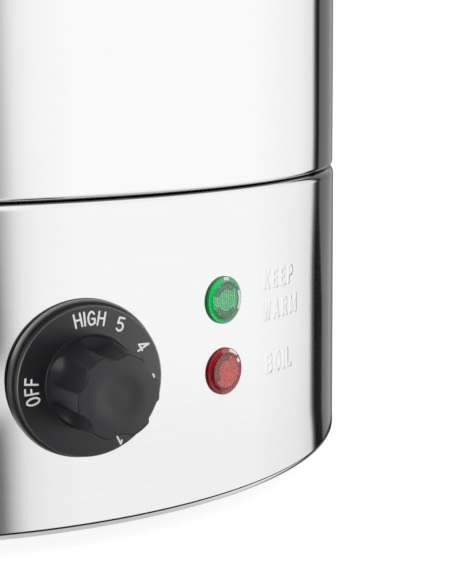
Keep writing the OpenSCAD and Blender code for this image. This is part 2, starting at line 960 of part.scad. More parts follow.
module tap_bonnet() {
    ear_in = 5;
    ear_out = 8;
    skirt_top = 21;
    color("silver")
        difference() {
            union() {
                at_tap(chamber_u) {
                    translate([0, 0, chamber_top])
                        cylinder(h = skirt_top - chamber_top, r = chamber_r + 1);
                    translate([0, 0, spring_top])
                        cylinder(h = 3, r = chamber_in_r - 0.02);
                    translate([0, 0, skirt_top])
                        cylinder(h = 3, r1 = chamber_r + 1, r2 = chamber_r - 2);
                }
                for (side = [-1, 1])
                    translate([side > 0 ? ear_in : -ear_out, -lever_u, tap_z + lever_up])
                        rotate([0, 90, 0])
                            cylinder(h = ear_out - ear_in, r = 4.5);
                for (side = [-1, 1])
                    translate([side > 0 ? ear_in : -ear_out, -lever_u - 4.5, tap_z + skirt_top])
                        cube([ear_out - ear_in, 9, lever_up - skirt_top]);
            }
            at_tap(chamber_u)
                cylinder(h = 60, r = stem_r + stem_fit);
            translate([-10, -lever_u, tap_z + lever_up])
                rotate([0, 90, 0])
                    cylinder(h = 20, r = 1.5);
            at_tap(lever_u)
                translate([-ear_in, -8, skirt_top + 3])
                    cube([ear_in * 2, 16, 2]);
        }
}

module tap_lever_pin() {
    color("silver")
        translate([-9, -lever_u, tap_z + lever_up])
            rotate([0, 90, 0])
                cylinder(h = 18, r = 1.5);
}

// A fork under the stem's head, a hub on the pin and a broad handle in front
module tap_lever() {
    hub_r = 4;
    hub_half = 4.7;
    neck_half = 4.4;
    tine_in = 3;
    tine_out = 4.6;
    paddle_half = 7;
    paddle_t = 6;
    color([0.07, 0.07, 0.08])
        translate([0, -lever_u, tap_z + lever_up])
            difference() {
                union() {
                    translate([-hub_half, 0, 0])
                        rotate([0, 90, 0])
                            cylinder(h = hub_half * 2, r = hub_r);
                    for (side = [-1, 1])
                        translate([side > 0 ? tine_in : -tine_out, 0, 0]) {
                            translate([0, 1, -fork_r])
                                cube([tine_out - tine_in, fork_reach - 1, fork_r * 2]);
                            translate([0, fork_reach, 0])
                                rotate([0, 90, 0])
                                    cylinder(h = tine_out - tine_in, r = fork_r);
                        }
                    rotate([-lever_lean, 0, 0])
                        translate([0, 0, -paddle_t / 2])
                            linear_extrude(paddle_t)
                                union() {
                                    polygon([[-neck_half, -1], [neck_half, -1], [neck_half, -10],
                                        [paddle_half, -20], [paddle_half, 8 - lever_len],
                                        [-paddle_half, 8 - lever_len], [-paddle_half, -20],
                                        [-neck_half, -10]]);
                                    translate([0, 8 - lever_len])
                                        circle(8);
                                }
                }
                translate([-6, 0, 0])
                    rotate([0, 90, 0])
                        cylinder(h = 12, r = 1.55);
            }
}

module tap_stem() {
    head_low = lever_up + fork_r + head_gap;
    color("silver")
        at_tap(chamber_u) {
            translate([0, 0, chamber_low + 8.2])
                cylinder(h = head_low - chamber_low - 8.2 + bond, r = stem_r);
            translate([0, 0, head_low])
                cylinder(h = 3, r = 5.4);
            translate([0, 0, chamber_low + 7.2])
                cylinder(h = 1.4, r = 7);
        }
}

// A soft cup that closes the outlet
module tap_seat() {
    color([0.8, 0.8, 0.78])
        at_tap(chamber_u) {
            translate([0, 0, chamber_low + 3])
                cylinder(h = 4.2, r = 7.4);
            translate([0, 0, chamber_low + 1.4])
                cylinder(h = 1.6 + bond, r1 = 3.6, r2 = spout_in_r - 0.3);
        }
}

module tap_spring() {
    turns = 6;
    steps = 14;
    coil = [for (i = [0 : turns * steps])
        let (t = i / (turns * steps), a = 360 * turns * t)
        [spring_r * cos(a), spring_r * sin(a),
            spring_low + spring_wire + t * (spring_top - spring_low - spring_wire * 2)]];
    color("silver")
        at_tap(chamber_u)
            swept(coil, spring_wire, 6);
}

// ---------- water gauge ----------

module gauge_tube() {
    color([0.85, 0.95, 1, 0.4])
        at_tap(gauge_u)
            tube(gauge_r, gauge_in_r, gauge_low_z - tap_z, gauge_top_z - tap_z);
}

module gauge_seal() {
    color([0.7, 0.25, 0.15])
        at_tap(gauge_u)
            tube(gauge_r + 1.7, gauge_r, 14, 19.4);
}

// A long channel round the glass, open at the front over most of its length
module gauge_guard() {
    slot_w = 9;
    color("silver")
        at_tap(gauge_u)
            difference() {
                translate([0, 0, guard_low_z - tap_z])
                    cylinder(h = guard_top_z - guard_low_z, r = guard_r);
                translate([0, 0, guard_low_z - tap_z - 1])
                    cylinder(h = guard_top_z - guard_low_z + 2, r = guard_r - guard_t);
                translate([-slot_w / 2, -20, guard_low_z - tap_z + 12])
                    cube([slot_w, 20, guard_top_z - guard_low_z - 24]);
                for (z = boss_zs)
                    translate([0, 0, z - tap_z])
                        rotate([-90, 0, 0])
                            cylinder(h = 20, r = 1.6);
            }
}

module gauge_cap() {
    color([0.07, 0.07, 0.08])
        at_tap(gauge_u)
            difference() {
                translate([0, 0, guard_top_z - tap_z])
                    cylinder(h = 14, r1 = guard_r + 0.4, r2 = guard_r - 1);
                translate([0, 0, guard_top_z - tap_z - 1])
                    cylinder(h = 8, r = gauge_r + 0.1);
                translate([0, 0, guard_top_z - tap_z])
                    cylinder(h = 20, r = 1);
            }
}

module gauge_bosses() {
    color("silver")
        difference() {
            for (z = boss_zs)
                translate([0, 0, z])
                    rotate([90, 0, 0])
                        tube(4.5, 1.55, tank_r - 2, gauge_u - guard_r + 0.3);
            cylinder(h = rim_z, r = tank_r, $fn = wall_fn);
            translate([0, -gauge_u, 0])
                cylinder(h = rim_z, r = guard_r);
        }
}

module gauge_screws() {
    color("silver")
        for (z = boss_zs)
            translate([0, -gauge_u + guard_r - guard_t - 0.4, z])
                rotate([90, 0, 0])
                    pan_screw(1.5, 6, 2.4, 1.2);
}

// ---------- handles ----------

// Curved strips welded to the wall, with threaded holes for the handles' screws
module handle_brackets() {
    strip_half = grip_span / 2 + 14;
    color("silver")
        for (side = [0, 1])
            mirror([side, 0, 0])
                intersection() {
                    tube(tank_r + handle_plate_t, tank_r, handle_z - 25, handle_z + 25);
                    difference() {
                        translate([0, -strip_half, handle_z - 24])
                            cube([200, strip_half * 2, 48]);
                        for (y = [-1, 1])
                            for (z = [-1, 1])
                                translate([100, y * grip_span / 2, handle_z + z * handle_screw_dz])
                                    rotate([0, 90, 0])
                                        cylinder(h = 100, r = handle_screw_r + hole_gap / 2);
                    }
                }
}

// A round bar on two bent posts, each with an oval foot shaped to the strip
module handle() {
    post_u = tank_r - 14;
    color([0.07, 0.07, 0.08])
        difference() {
            union() {
                translate([grip_u, grip_bend_r - grip_span / 2, handle_z])
                    rotate([-90, 0, 0])
                        cylinder(h = grip_span - grip_bend_r * 2, r = grip_r);
                for (y = [-1, 1])
                    mirror([0, y > 0 ? 0 : 1, 0]) {
                        translate([grip_u - grip_bend_r, grip_span / 2 - grip_bend_r, handle_z])
                            rotate_extrude(angle = 90)
                                translate([grip_bend_r, 0])
                                    circle(grip_r);
                        translate([post_u, grip_span / 2, handle_z])
                            rotate([0, 90, 0])
                                cylinder(h = grip_u - grip_bend_r - post_u + bond, r = grip_r);
                        for (z = [-1, 1])
                            translate([post_u, grip_span / 2, handle_z + z * handle_screw_dz])
                                rotate([0, 90, 0])
                                    cylinder(h = handle_foot_u - post_u, r = 7);
                        translate([post_u, grip_span / 2 - 7, handle_z - handle_screw_dz])
                            cube([handle_foot_u - post_u, 14, handle_screw_dz * 2]);
                    }
            }
            translate([0, 0, handle_z - 40])
                cylinder(h = 80, r = tank_r + handle_plate_t + 0.02, $fn = wall_fn);
            for (y = [-1, 1])
                for (z = [-1, 1])
                    translate([100, y * grip_span / 2, handle_z + z * handle_screw_dz])
                        rotate([0, 90, 0])
                            cylinder(h = 100, r = 2.2);
        }
}

module handle_right() {
    handle();
}

module handle_left() {
    mirror([1, 0, 0])
        handle();
}

module handle_screws() {
    color("silver")
        for (side = [0, 1])
            mirror([side, 0, 0])
                for (y = [-1, 1])
                    for (z = [-1, 1])
                        translate([handle_foot_u, y * grip_span / 2, handle_z + z * handle_screw_dz])
                            rotate([0, 90, 0])
                                pan_screw(handle_screw_r, 14, 4, 2.4);
}

// ---------- lid ----------

// A shallow dome on a riser that also locates the lid inside the rim, and a flange over the rim
module lid_pan() {
    dome_z = lid_land_z + lid_riser;
    steam_hole_x = 100;
    steam_hole_r = 2;
    dome_ball_r = (lid_plug_r * lid_plug_r + lid_rise * lid_rise) / (2 * lid_rise);
    riser_t = 1;
    color("gainsboro")
        difference() {
            union() {
                intersection() {
                    translate([0, 0, lid_top_z - dome_ball_r])
                        difference() {
                            sphere(r = dome_ball_r, $fn = wall_fn);
                            sphere(r = dome_ball_r - lid_t, $fn = wall_fn);
                        }
                    translate([0, 0, dome_z - 0.2])
                        cylinder(h = lid_rise + 1, r = lid_plug_r);
                }
                rotate_extrude() {
                    band2d(lid_plug_r - riser_t, lid_plug_r, lid_land_z - lid_plug_drop, dome_z - 0.1);
                    band2d(lid_plug_r - riser_t, lid_edge_r - 3, lid_land_z, lid_land_z + lid_t);
                    bend2d(lid_edge_r - 3, lid_land_z + lid_t - 3, 3, lid_t, 1, 1);
                    band2d(lid_edge_r - lid_t, lid_edge_r, lid_land_z - 6, lid_land_z + lid_t - 3);
                }
            }
            cylinder(h = lid_top_z + 1, r = lid_screw_r + hole_gap);
            translate([steam_hole_x, 0, rim_z])
                cylinder(h = 60, r = steam_hole_r);
        }
}

module lid_knob() {
    color([0.07, 0.07, 0.08])
        translate([0, 0, lid_top_z + 0.2])
            difference() {
                union() {
                    cylinder(h = 5, r1 = 17, r2 = 11);
                    translate([0, 0, 5])
                        cylinder(h = 9, r = 11);
                    translate([0, 0, 14])
                        cylinder(h = 4, r1 = 12, r2 = lid_knob_r);
                    translate([0, 0, 18])
                        cylinder(h = 8, r = lid_knob_r);
                    translate([0, 0, 26])
                        cylinder(h = 4, r1 = lid_knob_r, r2 = lid_knob_r - 5);
                }
                translate([0, 0, -1])
                    cylinder(h = 15, r = lid_screw_r + hole_gap / 2);
            }
}

module lid_knob_screw() {
    color("silver")
        translate([0, 0, lid_top_z - lid_t - 0.1])
            mirror([0, 0, 1])
                pan_screw(lid_screw_r, 13, 6, 3);
}

tank_shell();
tank_floor();
tie_rods();
tie_nuts();
base_shell();
base_plate();
feet();
foot_screws();
control_knob();
thermostat_shaft();
thermostat_body();
thermostat_bracket();
thermostat_screws();
thermostat_probe();
probe_clips();
lamp_lens_upper();
lamp_lens_lower();
lamp_holders();
lamp_clips();
neon_lamps();
heating_element();
element_glands();
element_gaskets();
element_nuts();
cutout_body();
cutout_nut();
reset_button();
cutout_probe();
terminal_block();
terminal_screws();
wiring_loom();
earth_stud();
inlet_bezel();
inlet_socket();
inlet_pins();
inlet_screws();
tap_body();
tap_gaskets();
tap_back_nut();
tap_bonnet();
tap_lever();
tap_lever_pin();
tap_stem();
tap_seat();
tap_spring();
gauge_tube();
gauge_seal();
gauge_guard();
gauge_cap();
gauge_bosses();
gauge_screws();
handle_brackets();
handle_left();
handle_right();
handle_screws();
lid_pan();
lid_knob();
lid_knob_screw();
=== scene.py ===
"""Dressed model of a hot water urn: smooth shells, dial print, lamp lenses and every finish.

All sizes are in millimetres and turn into metres where a mesh is made. The urn's axis is the
world's Z, its tap faces -Y, and an azimuth is counted in degrees to the right of the tap.
"""

import logging
import math
from dataclasses import dataclass, field
from enum import Enum, IntEnum
from typing import Sequence

import bmesh
import bpy
import numpy as np
from mathutils import Matrix, Vector


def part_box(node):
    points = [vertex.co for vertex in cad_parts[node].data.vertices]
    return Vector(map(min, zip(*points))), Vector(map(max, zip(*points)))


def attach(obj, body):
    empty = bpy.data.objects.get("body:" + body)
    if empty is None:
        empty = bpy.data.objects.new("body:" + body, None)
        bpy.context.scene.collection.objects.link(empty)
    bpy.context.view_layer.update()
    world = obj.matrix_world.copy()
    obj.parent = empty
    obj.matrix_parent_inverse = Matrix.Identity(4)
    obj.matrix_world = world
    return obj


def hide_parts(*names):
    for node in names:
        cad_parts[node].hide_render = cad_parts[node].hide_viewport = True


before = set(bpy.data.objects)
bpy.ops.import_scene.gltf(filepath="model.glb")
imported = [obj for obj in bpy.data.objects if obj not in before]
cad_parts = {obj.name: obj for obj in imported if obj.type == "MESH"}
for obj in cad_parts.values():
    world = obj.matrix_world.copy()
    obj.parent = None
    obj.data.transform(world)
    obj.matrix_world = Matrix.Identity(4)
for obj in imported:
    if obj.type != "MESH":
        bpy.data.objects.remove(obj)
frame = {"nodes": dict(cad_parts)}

MM = 0.001
LOG = logging.getLogger("urn")

Array = np.ndarray


# ---------- outlines and surfaces ----------


def smoothstep(share: Array) -> Array:
    """Eased share between 0 and 1: three times its square minus twice its cube."""
    share = np.clip(share, 0.0, 1.0)
    return share * share * (3 - 2 * share)


class Outline:
    """The profile of a turned wall: points, and the outward normal at both ends of each side.

    It runs so that the solid lies to its left. The normal of a straight side is square to it, and
    the normal on an arc points along the arc's radius, so that a mirror finish shows no facets.
    """

    def __init__(self, u: float, v: float) -> None:
        """Start at radius u and height v."""
        self.points: list[tuple[float, float]] = [(u, v)]
        self.normals: list[tuple[Array, Array]] = []
        self.zones: list[int] = []

    def line(self, u: float, v: float, longest: float = 1e9) -> "Outline":
        """Add a straight side, cut into stretches no longer than a given length.

        Args:
            u: Radius at its end.
            v: Height at its end.
            longest: Greatest length of one stretch.

        Returns:
            The outline itself.
        """
        start = np.array(self.points[-1])
        side = np.array([u, v]) - start
        length = float(np.linalg.norm(side))
        normal = np.array([side[1], -side[0]]) / length
        count = max(1, math.ceil(length / longest))
        for share in np.linspace(0, 1, count + 1)[1:]:
            self.points.append(tuple(start + side * share))
            self.normals.append((normal, normal))
        return self

    def arc(self, u: float, v: float, radius: float, start: float, end: float,
            steps: int) -> "Outline":
        """Add an arc: centre plus radius times cosine and sine of the angle.

        Args:
            u: Radius at which the centre lies.
            v: Height at which the centre lies.
            radius: The arc's own radius.
            start: First angle in degrees, at the outline's last point.
            end: Last angle in degrees.
            steps: Number of stretches.

        Returns:
            The outline itself.
        """
        angle = np.radians(np.linspace(start, end, steps + 1))
        ray = np.column_stack([np.cos(angle), np.sin(angle)])
        outward = ray if end > start else -ray
        self.points += [tuple(p) for p in np.array([u, v]) + radius * ray[1:]]
        self.normals += list(zip(outward, outward[1:]))
        return self

    def mark(self, zone: int) -> "Outline":
        """Put the sides since the last mark into a zone."""
        self.zones += [zone] * (len(self.normals) - len(self.zones))
        return self


def turned(profile: Array, cols: int, radii: Array | None = None) -> "Shape":
    """A surface of revolution: radius times cosine and sine of the angle, and height.

    A profile that ends where it began gives a ring. An end on the axis becomes one point.

    Args:
        profile: Radius and height of each row, run so that the solid lies to its left.
        cols: Number of points on each ring.
        radii: Radius of every point by row and column, where it isn't the profile's.

    Returns:
        The closed shape, with its axis along z.
    """
    ring = bool(np.allclose(profile[0], profile[-1])) and profile[0, 0] > 0
    low_pole, high_pole = (not ring and profile[i, 0] < 1e-6 for i in (0, -1))
    kept = slice(int(low_pole), len(profile) - int(high_pole or ring))
    inner = profile[kept]
    rows = len(inner)
    angle = 2 * math.pi * np.arange(cols) / cols
    radius = np.repeat(inner[:, :1], cols, 1) if radii is None else radii[kept]
    height = np.repeat(inner[:, 1:], cols, 1)
    points = np.stack([radius * np.cos(angle), radius * np.sin(angle), height], -1).reshape(-1, 3)
    faces = grid_faces(rows + int(ring), cols) % (rows * cols)
    corners = faces.tolist()
    around = np.arange(cols)
    after = (around + 1) % cols
    for pole, end in ((low_pole, 0), (high_pole, -1)):
        if pole:
            tip = np.full(cols, len(points))
            base = 0 if end == 0 else (rows - 1) * cols
            fan = [base + around, base + after, tip]
            corners += np.column_stack(fan[::-1] if end == 0 else fan).tolist()
            points = np.vstack([points, [0, 0, profile[end, 1]]])
    return Shape(points, corners)


def grid_faces(rows: int, cols: int, closed: bool = True) -> Array:
    """Four-cornered faces of a grid whose point (row, col) has the index row * cols + col."""
    row, col = np.meshgrid(np.arange(rows - 1), np.arange(cols if closed else cols - 1),
                           indexing="ij")
    right = (col + 1) % cols
    quads = np.stack([row * cols + col, row * cols + right,
                      (row + 1) * cols + right, (row + 1) * cols + col], -1)
    return quads.reshape(-1, 4)


def facing(points: Array, azimuth: float, height: float = 0.0) -> Array:
    """Put points on the outside of the urn: their x to the right, their y up and their z outward."""
    turn = math.radians(azimuth)
    x, y, z = points[:, 0], points[:, 1], points[:, 2]
    return np.column_stack([x * math.cos(turn) + z * math.sin(turn),
                            x * math.sin(turn) - z * math.cos(turn), y + height])


@dataclass
class Shape:
    """Points and faces of a closed surface, with a material index for each face.

    Attributes:
        points: One row of x, y, z for each point.
        faces: Corner indices of each face.
        kinds: Material index of each face.
    """

    points: Array
    faces: list[list[int]]
    kinds: list[int] = field(default_factory=list)

    def __post_init__(self) -> None:
        """Give every face the first material where none is named."""
        self.kinds = self.kinds or [0] * len(self.faces)

    def __add__(self, other: "Shape") -> "Shape":
        """Both shapes as one."""
        shift = len(self.points)
        moved = [[i + shift for i in face] for face in other.faces]
        points = np.vstack([self.points, other.points])
        return Shape(points, self.faces + moved, self.kinds + other.kinds)

    def moved(self, x: float = 0.0, y: float = 0.0, z: float = 0.0) -> "Shape":
        """The shape shifted by x, y and z."""
        return Shape(self.points + np.array([x, y, z]), self.faces, self.kinds)

    def spun(self, degrees: float) -> "Shape":
        """The shape turned about z, from x towards y."""
        turn = math.radians(degrees)
        x, y, z = self.points.T
        points = np.column_stack([x * math.cos(turn) - y * math.sin(turn),
                                  x * math.sin(turn) + y * math.cos(turn), z])
        return Shape(points, self.faces, self.kinds)

    def facing(self, azimuth: float, height: float = 0.0) -> "Shape":
        """The shape put on the outside of the urn, its z outward."""
        return Shape(facing(self.points, azimuth, height), self.faces, self.kinds)

    def object(self, name: str, materials: Sequence[bpy.types.Material],
               crease: float = 40.0) -> bpy.types.Object:
        """Make an object of the shape, smooth except along creases.

        Args:
            name: Name of the piece.
            materials: Materials in the order of the faces' indices.
            crease: Angle in degrees above which an edge stays sharp.

        Returns:
            The new object, at the origin.
        """
        mesh = bpy.data.meshes.new(name)
        mesh.from_pydata((self.points * MM).tolist(), [], self.faces)
        for material in materials:
            mesh.materials.append(material)
        mesh.polygons.foreach_set("material_index", self.kinds)
        mesh.shade_smooth()
        mesh.set_sharp_from_angle(angle=math.radians(crease))
        mesh.update()
        piece = bpy.data.objects.new(name, mesh)
        bpy.context.scene.collection.objects.link(piece)
        LOG.info("%s: %d points, %d faces", name, len(self.points), len(self.faces))
        return piece


def fetched(items: bpy.types.bpy_prop_collection, name: str, kind: type, width: int = 1) -> Array:
    """One property of every item of a mesh's collection.

    Args:
        items: The collection.
        name: Name of the property.
        kind: Type of its numbers.
        width: How many numbers an item has.

    Returns:
        One number, or one row of numbers, for each item.
    """
    numbers = np.empty(len(items) * width, kind)
    items.foreach_get(name, numbers)
    return numbers.reshape(-1, width) if width > 1 else numbers


# ---------- node trees written as formulas ----------


class Term:
    """One output of a node tree, so that shader sums read as formulas."""

    def __init__(self, graph: "Graph", socket: bpy.types.NodeSocket) -> None:
        """Keep the tree and the output."""
        self.graph = graph
        self.socket = socket

    def __add__(self, other: "Feed") -> "Term":
        """Sum."""
        return self.graph.math("ADD", self, other)

    def __sub__(self, other: "Feed") -> "Term":
        """Difference."""
        return self.graph.math("SUBTRACT", self, other)

    def __rsub__(self, other: float) -> "Term":
        """A number minus this term."""
        return self.graph.math("SUBTRACT", other, self)

    def __mul__(self, other: "Feed") -> "Term":
        """Product."""
        return self.graph.math("MULTIPLY", self, other)

    __radd__ = __add__
    __rmul__ = __mul__


Feed = Term | float | tuple


class Graph:
    """A node tree that is filled from formulas."""

    def __init__(self, tree: bpy.types.NodeTree) -> None:
        """Empty the tree."""
        tree.nodes.clear()
        self.tree = tree

    def feed(self, socket: bpy.types.NodeSocket, value: Feed) -> None:
        """Link a term to an input, or set the input to a number or colour."""
        if isinstance(value, Term):
            self.tree.links.new(value.socket, socket)
        else:
            socket.default_value = value

    def add(self, kind: str, inputs: dict[str | int, Feed] | None = None,
            **settings: object) -> bpy.types.Node:
        """Add a node.

        Args:
            kind: Type of the node, without its ShaderNode prefix.
            inputs: Values or terms for its inputs, by name or number.
            **settings: Its properties.

        Returns:
            The node.
        """
        node = self.tree.nodes.new("ShaderNode" + kind)
        for name, value in settings.items():
            setattr(node, name, value)
        for name, value in (inputs or {}).items():
            self.feed(node.inputs[name], value)
        return node

    def term(self, kind: str, output: str | int, inputs: dict[str | int, Feed] | None = None,
             **settings: object) -> Term:
        """Add a node and take one of its outputs as a term."""
        return Term(self, self.add(kind, inputs, **settings).outputs[output])

    def math(self, operation: str, *values: Feed) -> Term:
        """One step of arithmetic."""
        return self.term("Math", 0, dict(enumerate(values)), operation=operation)

    def ease(self, value: Feed, low: float, high: float, at_low: float = 0.0,
             at_high: float = 1.0) -> Term:
        """A smooth step of a value between two bounds."""
        bounds = {"From Min": low, "From Max": high, "To Min": at_low, "To Max": at_high}
        return self.term("MapRange", 0, {"Value": value, **bounds}, interpolation_type="SMOOTHSTEP")

    def split(self, vector: Term) -> tuple[Term, ...]:
        """The x, y and z of a vector."""
        return tuple(Term(self, part) for part in self.add("SeparateXYZ", {0: vector}).outputs)

    def beside(self, azimuth: float) -> tuple[Term, Term]:
        """Object coordinates along the wall at an azimuth: x and y turned to it, and up: z."""
        x, y, z = self.split(self.term("TexCoord", "Object"))
        turn = math.radians(azimuth)
        return x * math.cos(turn) + y * math.sin(turn), z

    def seen(self) -> Term:
        """1 on rays from the camera, straight or through glass, and 0 on all others."""
        path = self.add("LightPath")
        return self.math("MAXIMUM", Term(self, path.outputs["Is Camera Ray"]),
                         Term(self, path.outputs["Is Transmission Ray"]))

    def place(self, stretch: tuple[float, float, float] = (1, 1, 1)) -> Term:
        """Object coordinates, scaled along each axis."""
        where = self.term("TexCoord", "Object")
        return self.term("Mapping", 0, {"Vector": where, "Scale": stretch})

    def noise(self, size: float, detail: float = 3.0, rough: float = 0.5,
              stretch: tuple[float, float, float] = (1, 1, 1)) -> Term:
        """Cloudy variation between 0 and 1.

        Args:
            size: Size of one cloud in millimetres.
            detail: Number of finer octaves.
            rough: Strength of the finer octaves.
            stretch: How much finer the clouds are along each axis.

        Returns:
            The variation.
        """
        inputs = {"Vector": self.place(stretch), "Scale": 1 / (size * MM), "Detail": detail,
                  "Roughness": rough}
        return self.term("TexNoise", 0, inputs)

    def mix(self, share: Feed, first: Feed, second: Feed) -> Term:
        """A blend of two colours."""
        node = self.add("Mix", {0: share, 6: first, 7: second}, data_type="RGBA")
        return Term(self, node.outputs[2])

    def bump(self, height: Term, depth: float, strength: float = 1.0) -> Term:
        """A bumped normal: the height's 0 to 1 stands for a depth in millimetres."""
        return self.term("Bump", 0, {"Height": height, "Distance": depth * MM, "Strength": strength})


# ---------- finishes ----------


Colour = tuple[float, float, float]

# Height of the seam's groove, and colour of the painted shade in its depth
SEAM = 109.45
SEAM_SHADE = (0.2, 0.2, 0.205, 1.0)

# Where the controls sit: azimuths in degrees, and height of the knob's centre
KNOB_AZIMUTH = 29.0
KNOB_HEIGHT = 56.0
LAMP_AZIMUTH = 48.9


def rgba(colour: Colour, gain: float = 1.0) -> tuple[float, float, float, float]:
    """A colour with full opacity, made lighter or darker."""
    return (*(min(1.0, c * gain) for c in colour), 1.0)


def new_material(name: str) -> tuple[bpy.types.Material, Graph]:
    """A new material and its emptied node tree."""
    material = bpy.data.materials.new(name)
    material.use_nodes = True
    return material, Graph(material.node_tree)


@dataclass(frozen=True)
class Finish:
    """A surface finish.

    Attributes:
        name: Name of the material.
    """

    name: str

    def dress(self, graph: Graph, shader: bpy.types.Node) -> None:
        """Set the shader's sockets and its patterns."""
        raise NotImplementedError

    def material(self) -> bpy.types.Material:
        """The finish's material, made on first use."""
        name = "finish_" + self.name
        made = bpy.data.materials.get(name)
        if made:
            return made
        made, graph = new_material(name)
        shader = graph.add("BsdfPrincipled")
        self.dress(graph, shader)
        graph.add("OutputMaterial", {0: Term(graph, shader.outputs[0])})
        return made


@dataclass(frozen=True)
class Metal(Finish):
    """Bare or plated metal with clouded gloss and, where it is brushed, fine horizontal lines.

    Attributes:
        colour: Reflected colour.
        gloss: Roughness of the surface.
        cloud: How much the roughness varies.
        streak: How much darker the streaks are.
        brushing: Depth of the brushed lines in millimetres.
        groove: Height of a groove round the urn, in whose depth a painted shade darkens the metal's
            colour.
    """

    colour: Colour = (0.9, 0.9, 0.895)
    gloss: float = 0.04
    cloud: float = 0.2
    streak: float = 0.03
    brushing: float = 0.0
    groove: float = 0.0

    def dress(self, graph: Graph, shader: bpy.types.Node) -> None:
        """Metal whose roughness drifts in clouds, with streaks that run round the urn and painted
        shade in its groove.
        """
        cloud_size, streak_size, octaves, fineness = 30.0, 8.0, 4.0, 0.6
        along_streak, thin, dense = (0.1, 0.1, 5.0), 0.3, 0.7
        clouds = graph.noise(cloud_size, octaves)
        streaks = graph.noise(streak_size, octaves, fineness, along_streak)
        tone = graph.mix(graph.ease(streaks, thin, dense), rgba(self.colour, 1 - self.streak),
                         rgba(self.colour))
        # Painted shade: the colour fades to a dark grey within about a millimetre of the seam, where
        # shade falls in the groove between the shells.
        if self.groove:
            deep, open_at = 0.15, 1.05
            _, _, up = graph.split(graph.term("TexCoord", "Object"))
            height = up * (1 / MM) - self.groove
            tone = graph.mix(graph.ease(graph.math("ABSOLUTE", height), deep, open_at), SEAM_SHADE, tone)
        shader.inputs["Metallic"].default_value = 1.0
        graph.feed(shader.inputs["Base Color"], tone)
        rough = self.gloss * (1 - self.cloud) + 2 * self.cloud * self.gloss * clouds
        graph.feed(shader.inputs["Roughness"], rough)
        if self.brushing:
            graph.feed(shader.inputs["Normal"], graph.bump(streaks, self.brushing))


@dataclass(frozen=True)
class Moulding(Finish):
    """Moulded plastic, rubber or ceramic with a fine grain.

    Attributes:
        colour: Colour of the mass.
        gloss: Roughness of the surface.
        sheen: Specular level.
        grain: Size of the grain in millimetres.
        depth: Depth of the grain in millimetres.
    """

    colour: Colour = (0.035, 0.035, 0.038)
    gloss: float = 0.45
    sheen: float = 0.5
    grain: float = 0.5
    depth: float = 0.01

    def dress(self, graph: Graph, shader: bpy.types.Node) -> None:
        """A mass with faint clouds, a grained skin and uneven gloss."""
        cloud_size, octaves, fineness, least, most = 14.0, 2.0, 0.6, 0.85, 1.15
        clouds = graph.noise(cloud_size)
        grain = graph.noise(self.grain, octaves, fineness)
        tone = graph.mix(clouds, rgba(self.colour, least), rgba(self.colour, most))
        graph.feed(shader.inputs["Base Color"], tone)
        rough = self.gloss * least + self.gloss * (most - least) * clouds
        graph.feed(shader.inputs["Roughness"], rough)
        shader.inputs["Specular IOR Level"].default_value = self.sheen
        graph.feed(shader.inputs["Normal"], graph.bump(grain, self.depth))


@dataclass(frozen=True)
class Clear(Finish):
    """Glass or clear tinted plastic.

    Attributes:
        colour: Colour that passes through.
        gloss: Roughness of the surface.
        bend: Index of refraction.
        through: Share of the light that passes; the rest is scattered by the dye.
    """

    colour: Colour = (0.97, 0.99, 0.98)
    gloss: float = 0.02
    bend: float = 1.47
    through: float = 1.0

    def dress(self, graph: Graph, shader: bpy.types.Node) -> None:
        """A clear mass with faint smears on its skin."""
        smear_size, dim = 6.0, 0.97
        smears = graph.noise(smear_size)
        shader.inputs["Transmission Weight"].default_value = self.through
        shader.inputs["IOR"].default_value = self.bend
        tone = graph.mix(smears, rgba(self.colour, dim), rgba(self.colour))
        graph.feed(shader.inputs["Base Color"], tone)
        graph.feed(shader.inputs["Roughness"], self.gloss + self.gloss * smears)


@dataclass(frozen=True)
class Ribbed(Finish):
    """The moulded pattern behind a lens: bright lines between darker dents, the lines painted light
    as the crests' highlight.

    Attributes:
        azimuth: Where the lens sits, in degrees.
        dent: Colour of the dents.
        line: Colour of the lines, a painted highlight.
        slants: Direction of each set of lines, in degrees from the upright.
        pitch: Distance between two lines in millimetres.
    """

    azimuth: float
    dent: Colour
    line: Colour
    slants: tuple[float, ...]
    pitch: float = 1.3

    def dress(self, graph: Graph, shader: bpy.types.Node) -> None:
        """Lines where a cosine of the distance across them is high."""
        foot, crest, gloss, depth = -0.2, 0.9, 0.25, 0.12
        along, up = graph.beside(self.azimuth)
        height: Term | None = None
        for slant in self.slants:
            lean = math.radians(slant)
            across = along * math.cos(lean) + up * math.sin(lean)
            wave = graph.math("COSINE", across * (2 * math.pi / (self.pitch * MM)))
            height = wave if height is None else graph.math("MAXIMUM", height, wave)
        share = graph.ease(height, foot, crest)
        # Painted highlight: the ribs' crests take the line colour and their dents the darker one.
        graph.feed(shader.inputs["Base Color"], graph.mix(share, rgba(self.dent), rgba(self.line)))
        shader.inputs["Roughness"].default_value = gloss
        graph.feed(shader.inputs["Normal"], graph.bump(share, depth))


